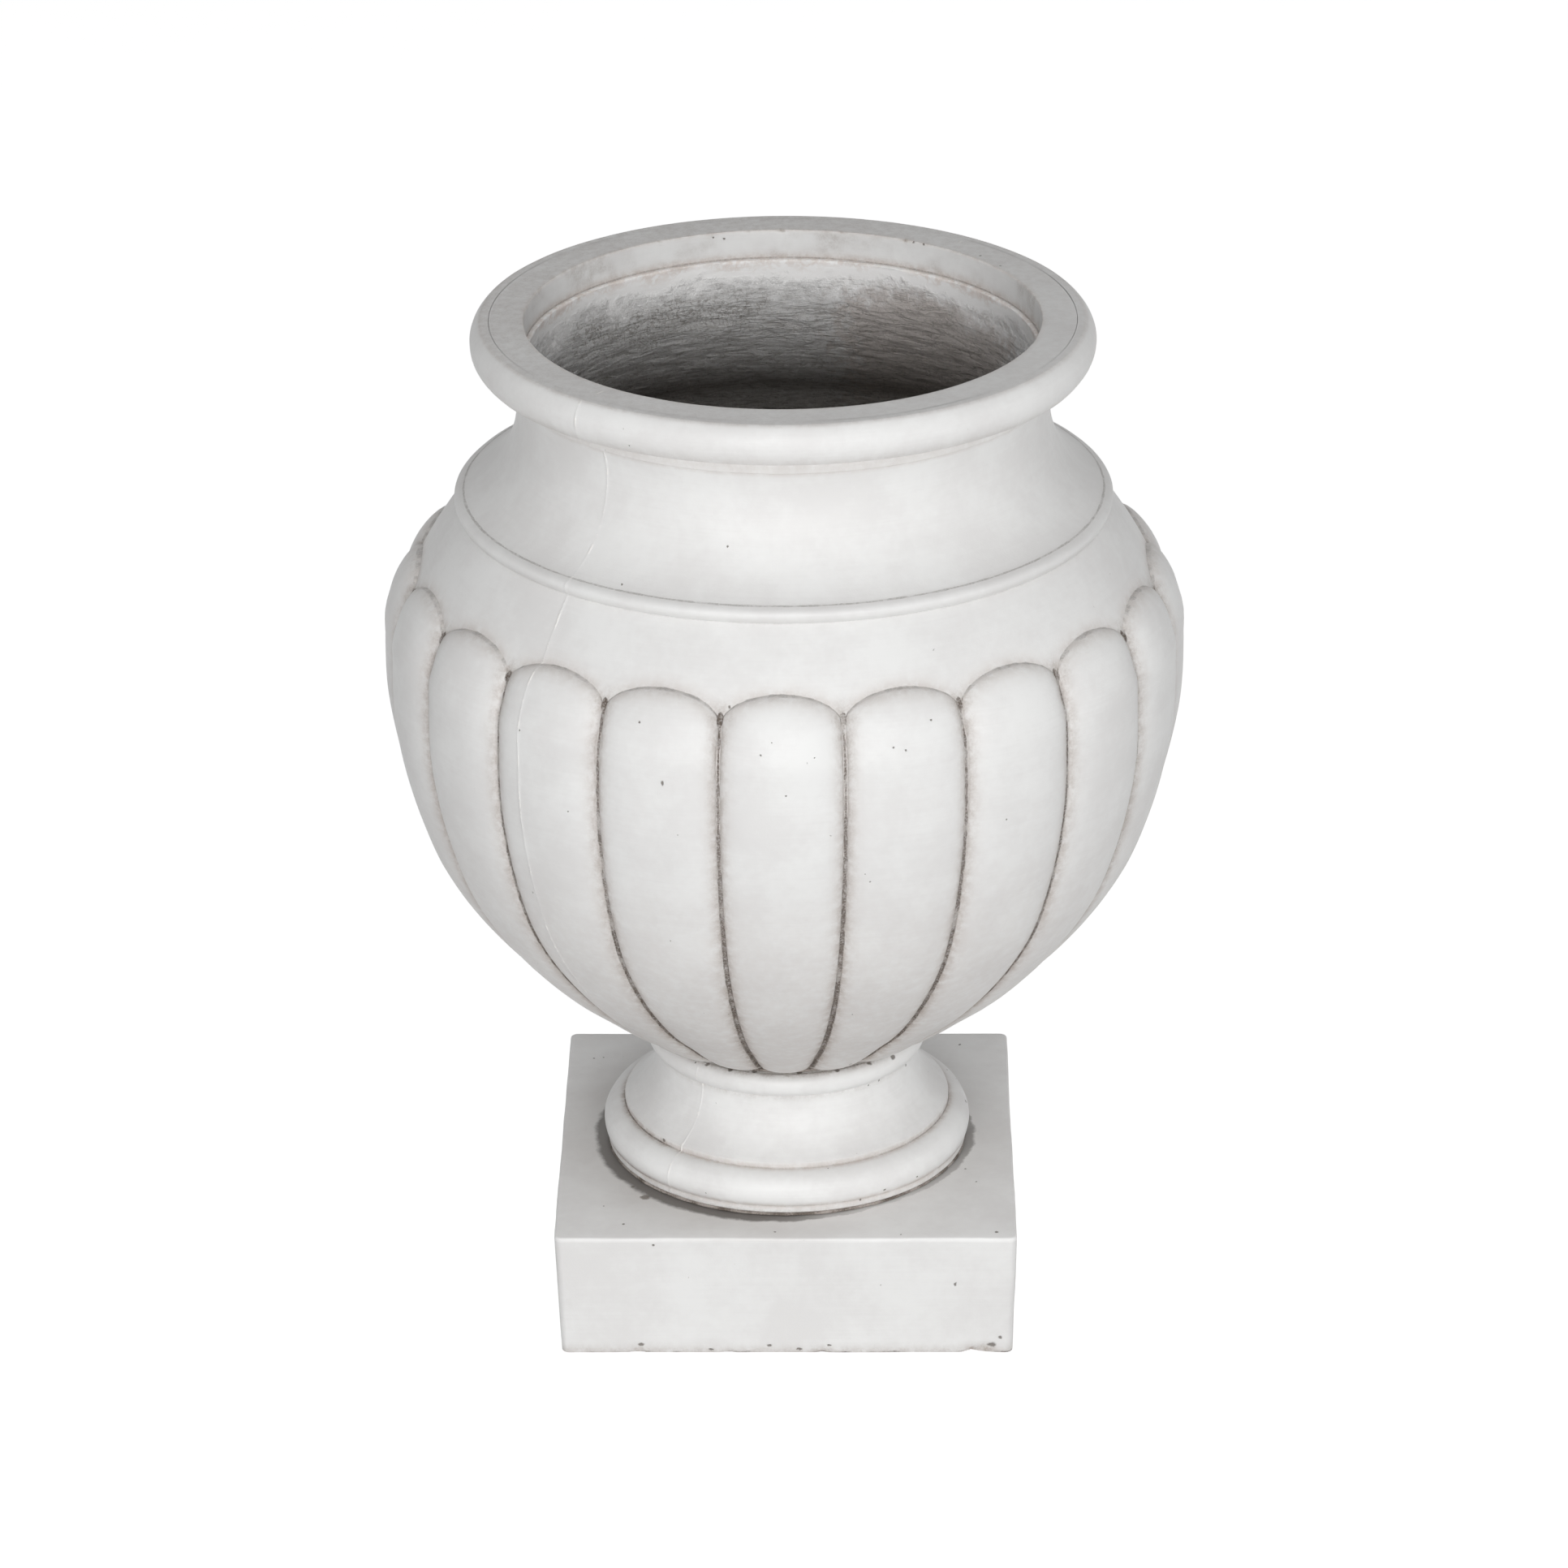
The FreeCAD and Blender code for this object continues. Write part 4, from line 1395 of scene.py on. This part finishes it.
@dataclass
class Plinth(WholePiece):
    """Square plinth, open below, with eased edges and a chipped lower corner."""

    node: str = "plinth_shell"
    width: float = 300.0
    height: float = 86.0
    draft: float = 2.0
    corner: float = 5.0
    edge: float = 1.6
    wall: float = 11.0
    slab: float = 12.0
    opening: float = 82.0
    yaw: float = -0.6
    swell: float = 1.4
    lower_edge: float = 0.8
    rim_inset: float = 0.4
    slant_from: float = 138.0
    slant_run: float = 10.0
    slant_depth: float = 2.0
    row_step: int = 4
    row_levels: tuple[float, ...] = (
        1.5, 2.5, 3.5, 5, 7, 9, 12, 16, 21, 26, 32, 38, 44, 50, 56, 62, 68, 74, 79, 82,
    )
    chips: Marks = (
        (124.0, -149.0, 0.0, 5.0, 3.0), (133.0, -149.0, 3.0, 3.5, 1.2), (-98.0, -148.0, 0.0, 4.0, 1.0),
        (-38.0, -148.0, 0.0, 3.0, 0.9), (24.0, -148.0, 0.0, 3.0, 1.0), (-148.0, -60.0, 0.0, 5.0, 1.4),
    )

    def build(self) -> None:
        """Shapes the block, hollows it, cuts the opening and works its edges."""
        deselect()
        bpy.ops.mesh.primitive_cube_add(size=1)
        self.piece = bpy.context.object
        self.piece.name = self.piece.data.name = "plinth_block"
        points = places(self.piece) * MM
        reach = np.where(points[:, 2] > 0, self.width / 2, self.width / 2 - self.draft) + self.swell
        place(self.piece, np.stack([np.sign(points[:, 0]) * reach, np.sign(points[:, 1]) * reach,
                                    np.where(points[:, 2] > 0, self.height, 0)], 1))
        self.bevel(lambda a, b: abs(a.z - b.z) > 0.05, self.corner, 7)
        top = self.height * MM
        self.bevel(lambda a, b: min(a.z, b.z) > top - 1e-5, self.edge, 4)
        self.bevel(lambda a, b: max(a.z, b.z) < 1e-5, self.lower_edge, 2)
        self.hollow()
        self.cut_rows()
        self.work_edges()
        round_over(self.piece, 35)

    def bevel(self, wanted: Callable, size: float, segments: int) -> None:
        """Bevels the edges whose two ends pass the test."""
        edit(self.piece, "EDGE")
        vertices = self.piece.data.vertices
        pick(self.piece, "edges", lambda edge: wanted(*[vertices[i].co for i in edge.vertices]))
        bpy.ops.mesh.bevel(offset=size * MM, segments=segments, affect="EDGES")
        switch("OBJECT")

    def hollow(self) -> None:
        """Insets the underside, pushes it up to the slab, and bores the opening under the foot."""
        edit(self.piece, "FACE")
        pick(self.piece, "polygons", lambda face: face.normal.z < -0.99 and face.area > 0.01)
        bpy.ops.mesh.inset(thickness=self.rim_inset * MM)
        foot = self.width / 2 - self.draft
        share = (foot - self.wall) / (foot - self.lower_edge - self.rim_inset)
        bpy.ops.transform.resize(value=(share, share, 1), center_override=(0, 0, 0))
        depth = (self.height - self.slab) * MM
        bpy.ops.mesh.extrude_region_move(TRANSFORM_OT_translate={"value": (0, 0, depth)})
        switch("OBJECT")
        deselect()
        bpy.ops.mesh.primitive_cylinder_add(vertices=128, radius=self.opening * MM, depth=0.05,
                                            location=(0, 0, (self.height - self.slab / 2) * MM))
        plug = bpy.context.object
        take(self.piece)
        bore = self.piece.modifiers.new("bore", "BOOLEAN")
        bore.object, bore.operation, bore.solver = plug, "DIFFERENCE", "EXACT"
        bpy.ops.object.modifier_apply(modifier="bore")
        bpy.data.objects.remove(plug)

    def cut_rows(self) -> None:
        """Cuts rows of edges across the block, closer together near its lower edge."""
        open_whole(self.piece)
        last = 35 * self.row_step
        across = range(-last, last + 1, self.row_step)
        for axis, rows in (((1, 0, 0), across), ((0, 1, 0), across), ((0, 0, 1), self.row_levels)):
            for row in rows:
                bpy.ops.mesh.select_all(action="SELECT")
                bpy.ops.mesh.bisect(plane_co=Vector(axis) * row * MM, plane_no=axis)
        switch("OBJECT")

    def work_edges(self) -> None:
        """Wears the block: wavy faces, a knocked lower edge with glaze in the chips, darker along the
        bottom, and a slight turn.
        """
        points = places(self.piece)
        radius, level = from_axis(points), points[:, 2]
        outer = np.maximum(np.abs(points[:, 0]), np.abs(points[:, 1])) > self.width / 2 - self.wall / 2
        moved = points.copy()
        wave = hand_wave(points, 0.7, 46, 8.3)
        moved[:, :2] *= (1 - np.where(outer, wave, 0) / np.maximum(radius, 1))[:, None]
        moved[:, 2] -= np.where(level > self.height - 3, hand_wave(points, 0.35, 60, 5.9), 0)
        knocked = np.zeros(len(points))
        for x, y, z, size, depth in self.chips:
            away = np.sqrt((points[:, 0] - x) ** 2 + (points[:, 1] - y) ** 2 + (level - z) ** 2)
            knock = np.exp(-(away / size) ** 2) * outer
            knocked = np.maximum(knocked, knock)
            moved[:, :2] *= (1 - depth * knock / np.maximum(radius, 1))[:, None]
            moved[:, 2] += 0.35 * depth * knock
        slant = np.clip(-(points[:, 0] + self.slant_from) / self.slant_run, 0, 1)
        moved[:, 0] += self.slant_depth * slant * (1 - level / self.height)
        # darker towards the bottom edge of the sides, with a broken dark line at the very bottom
        low = np.where(outer, 0.22 * np.exp(-(level / 4.5) ** 2), 0)
        patches = ease(0.5, 0.75, hand_wave(points, 1.0, 17, 4.9))
        write_fields(self.piece, {
            "soil": np.clip(0.4 * knocked + low, 0, 1), "warm": 0.5 * knocked + low,
            "line": np.where(outer & (level < 20), level * 0.6, FAR),
            "tone": np.where(outer, 0.9 * patches, 0),
        })
        turned = math.radians(self.yaw)
        x, y = moved[:, 0].copy(), moved[:, 1].copy()
        moved[:, 0] = x * math.cos(turned) - y * math.sin(turned)
        moved[:, 1] = x * math.sin(turned) + y * math.cos(turned)
        place(self.piece, moved)


@dataclass(frozen=True)
class PlinthPaint(OffWhitePaint):
    """The same paint made lighter as painted light, with the ragged ring of dark glaze that the brush left
    round the foot and a soft haze beside it: painted shadow of the foot together with glaze.

    The table ring gives the ring's width and strength as a share of the full one, for azimuths
    counted in degrees from +X to +Y.
    """

    name: str = "off_white_masonry_paint_plinth"
    # painted light: a lighter copy of the bowl's paint
    light: str = "#F4F4F3"
    deep: str = "#ECEBEA"
    marks: Marks = (
        (-93.8, -92, 85.8, 3.6, 1), (-107.5, -129.3, 85.8, 1, 1), (-8.2, -141.5, 85.7, 0.8, 1),
        (73.9, -145.9, 85.7, 0.7, 1), (118.8, -53.8, 85.8, 0.8, 1), (125.3, -72.6, 85.9, 0.8, 1),
        (136.5, -143.5, 85.9, 1.3, 1), (-132.5, 113.3, 85.8, 1, 1), (-125.9, 114.4, 85.8, 0.8, 1),
        (119.4, 131.6, 85.8, 1.1, 1), (-120.9, -104, 85.7, 0.7, 1), (-102.1, -76.9, 85.8, 1.6, 1),
        (-87.6, -149.9, 81.1, 0.9, 1), (109.5, -151.5, 51.9, 1, 1.6), (133.7, -150.5, 6.1, 3.2, 0.6),
        (139, -150.9, 11.5, 1.4, 1), (-96.6, -148.1, 6.1, 2.4, 0.5), (-50.8, -148.7, 2.5, 1.8, 0.4),
        (-12.3, -149.1, 5.5, 1.8, 0.5), (7.4, -149.3, 2.7, 2.2, 0.4), (27.1, -149.8, 5.7, 1.6, 0.5),
    )
    ring: Table = (
        (-180, 0.92), (-165, 1.0), (-150, 0.95), (-135, 0.86), (-120, 0.64), (-105, 0.34), (-90, 0.2),
        (-75, 0.2), (-60, 0.3), (-45, 0.38), (-30, 0.48), (-15, 0.6), (0, 0.64), (18, 0.52), (40, 0.3),
        (120, 0.3), (150, 0.5), (168, 0.85),
    )
    ring_radius: float = 121.0
    ring_width: float = 9.5
    # how far the painted shadow of the foot, with glaze, reaches over the plinth's top
    shadow_haze_width: float = 60.0
    rag_step: float = 12.0
    bristle_step: float = 2.5
    top_level: float = 83.0
    ring_shade: str = "#615C58"

    def material(self) -> Material:
        """Builds the paint and lays the ring over it, as wide as the table ring says, with the haze of
        painted shadow and glaze beside it.
        """
        material = super().material()
        tree = material.node_tree
        surface = next(n for n in tree.nodes if n.type == "BSDF_PRINCIPLED")
        base = surface.inputs["Base Color"].links[0].from_socket
        spot = add_node(tree, "ShaderNodeTexCoord").outputs["Object"]
        radius = vector_step("LENGTH", vector_step("MULTIPLY", spot, (1, 1, 0)))
        strength = self.ring_strength(spot)
        past = combine("SUBTRACT", radius, self.ring_radius * MM)
        wander = fray(past, pattern(spot, self.rag_step, 3, shift=9.2), 0.3, 1.0 * MM)
        wander = fray(wander, pattern(spot, self.bristle_step, 3, shift=4.1), 0.3, 0.3 * MM)
        inside = combine("DIVIDE", wander, product(strength, self.ring_width * MM))
        dark = product(fade(inside, 0.6, 1.12, 1.0, 0.0),
                       fade(strength, 0.0, 0.9, 0.1, 0.9))
        # painted contact shadow of the foot, together with glaze, fading out over the plinth's top
        shadow_haze = product(fade(past, 0.0, self.shadow_haze_width * MM, 0.3, 0.0), strength)
        base = lay_shades(base, (shadow_haze, self.glaze), (dark, self.ring_shade))
        tree.links.new(base, surface.inputs["Base Color"])
        return material

    def ring_strength(self, spot: Socket) -> Socket:
        """Reads the table ring round the foot, on the plinth's top only."""
        parts = add_node(spot.id_data, "ShaderNodeSeparateXYZ", {0: spot}).outputs
        share = fade(combine("ARCTAN2", parts["Y"], parts["X"]), -math.pi, math.pi)
        around = add_node(spot.id_data, "ShaderNodeValToRGB", {0: share})
        stops = around.color_ramp.elements
        for azimuth, strength in self.ring[1:]:
            stops.new((azimuth + 180) / 360).color = (strength, strength, strength, 1)
        stops[0].color = stops[-1].color = (*[self.ring[0][1]] * 3, 1)
        on_top = fade(parts["Z"], self.top_level * MM, (self.top_level + 0.5) * MM)
        return product(around.outputs["Color"], on_top)


# Studio


@dataclass
class Studio:
    """Plain white studio: pale floor, frontal soft light, side fill, and the camera of the photograph."""

    lens: float = 151.39
    pitch: float = 24.174
    roll: float = -0.3
    distance: float = 4330.8
    aim: tuple[float, float, float] = (-0.8, 0.0, 342.9)
    sky: float = 0.26
    key_power: float = 122.0
    top_power: float = 17.0
    left_power: float = 6.0
    right_power: float = 20.0
    aim_level: float = 360.0
    floor_size: float = 60.0
    floor_drop: float = 0.3

    def build(self) -> None:
        """Sets up the floor, world, lamps and camera."""
        self.floor()
        self.world()
        self.lamp("key", (0.0, -4300.0, 1500.0), (3.6, 1.05), self.key_power)
        self.lamp("top", (0.0, -2600.0, 3300.0), (2.6, 2.0), self.top_power)
        self.lamp("fill_left", (-3600.0, -200.0, 1000.0), (3.0, 2.2), self.left_power)
        self.lamp("fill_right", (3600.0, -200.0, 1000.0), (3.0, 2.2), self.right_power)
        self.camera()
        bpy.context.scene.view_settings.view_transform = "Standard"

    def floor(self) -> None:
        """Lays the floor a hair below the plinth, so that the two faces don't lie in one plane."""
        deselect()
        bpy.ops.mesh.primitive_plane_add(size=self.floor_size, location=(0, 0, -self.floor_drop * MM))
        floor = bpy.context.object
        floor.name = "studio_floor"
        floor.data.materials.append(StudioFloor().material())

    def world(self) -> None:
        """Fills the room with soft light and shows white where the camera looks past the floor."""
        world = bpy.data.worlds.new("studio_room")
        bpy.context.scene.world = world
        world.use_nodes = True
        tree = world.node_tree
        tree.nodes.clear()
        dim = add_node(tree, "ShaderNodeBackground", {"Color": (1, 1, 1, 1), "Strength": self.sky})
        white = add_node(tree, "ShaderNodeBackground", {"Color": (1, 1, 1, 1), "Strength": 1.0})
        sides = {0: seen_directly(tree), 1: dim.outputs[0], 2: white.outputs[0]}
        mixed = add_node(tree, "ShaderNodeMixShader", sides)
        add_node(tree, "ShaderNodeOutputWorld", {"Surface": mixed.outputs[0]})

    def lamp(self, name: str, spot: Sequence[float], size: Sequence[float], power: float) -> None:
        """Hangs one large soft lamp that faces the urn."""
        light = bpy.data.lights.new(name, "AREA")
        light.shape, light.size, light.size_y, light.energy = "RECTANGLE", size[0], size[1], power
        lamp = bpy.data.objects.new(name, light)
        bpy.context.scene.collection.objects.link(lamp)
        lamp.location = Vector(spot) * MM
        lamp.rotation_mode = "QUATERNION"
        aim = Vector((0, 0, self.aim_level * MM))
        lamp.rotation_quaternion = (aim - lamp.location).to_track_quat("-Z", "Y")
        lamp.visible_camera = False

    def camera(self) -> None:
        """Places the camera where the photograph was taken from."""
        view = bpy.data.cameras.new("photo_camera")
        view.lens, view.sensor_width = self.lens, 36.0
        view.clip_start, view.clip_end = 0.05, 100.0
        camera = bpy.data.objects.new("photo_camera", view)
        bpy.context.scene.collection.objects.link(camera)
        tilt = math.radians(self.pitch)
        back = Vector((0, -math.cos(tilt), math.sin(tilt)))
        camera.location = (Vector(self.aim) + back * self.distance) * MM
        camera.rotation_mode = "QUATERNION"
        rolled = Quaternion((0, 0, 1), math.radians(self.roll))
        camera.rotation_quaternion = (-back).to_track_quat("-Z", "Y") @ rolled
        bpy.context.scene.camera = camera


def main() -> None:
    """Builds the urn's pieces in order, dresses them and sets up the studio."""
    logging.basicConfig(level=logging.INFO, format="%(name)s: %(message)s")
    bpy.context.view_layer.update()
    parting = Parting()
    paint = OffWhitePaint(name="off_white_masonry_paint_bowl", parting=parting.azimuth,
                          marks=BOWL_MARKS).material()
    # painted light: the foot's paint is a lighter copy of the bowl's
    brightened_foot_paint = OffWhitePaint(name="off_white_masonry_paint_foot", light="#EEEEED", deep="#E4E3E2",
                               parting=parting.azimuth, marks=FOOT_MARKS).material()
    brightened_plinth_paint = PlinthPaint().material()
    laminate = FibreLaminate().material()
    mortar = BedMortar().material()
    bowl = Bowl(parting)
    for piece, finish in (
        (Plinth(), brightened_plinth_paint),
        (MortarBed("foot_bed", "mortar_ring_foot", 105.5, 120.4, 85.9, 88.2), mortar),
        (Foot(parting), brightened_foot_paint),
        (MortarBed("bowl_bed", "mortar_ring_bowl", 72.0, 85.0, 173.2, 175.4), mortar),
        (bowl, paint),
        (RimCore(), paint),
        (BowlLining(bowl=bowl), laminate),
    ):
        piece.build()
        piece.dress(finish)
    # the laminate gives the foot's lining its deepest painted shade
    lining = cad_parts["foot_lining"]
    lining.data.materials.clear()
    lining.data.materials.append(laminate)
    Studio().build()
    deselect()
    bpy.context.view_layer.update()


if __name__ == "__main__":
    main()
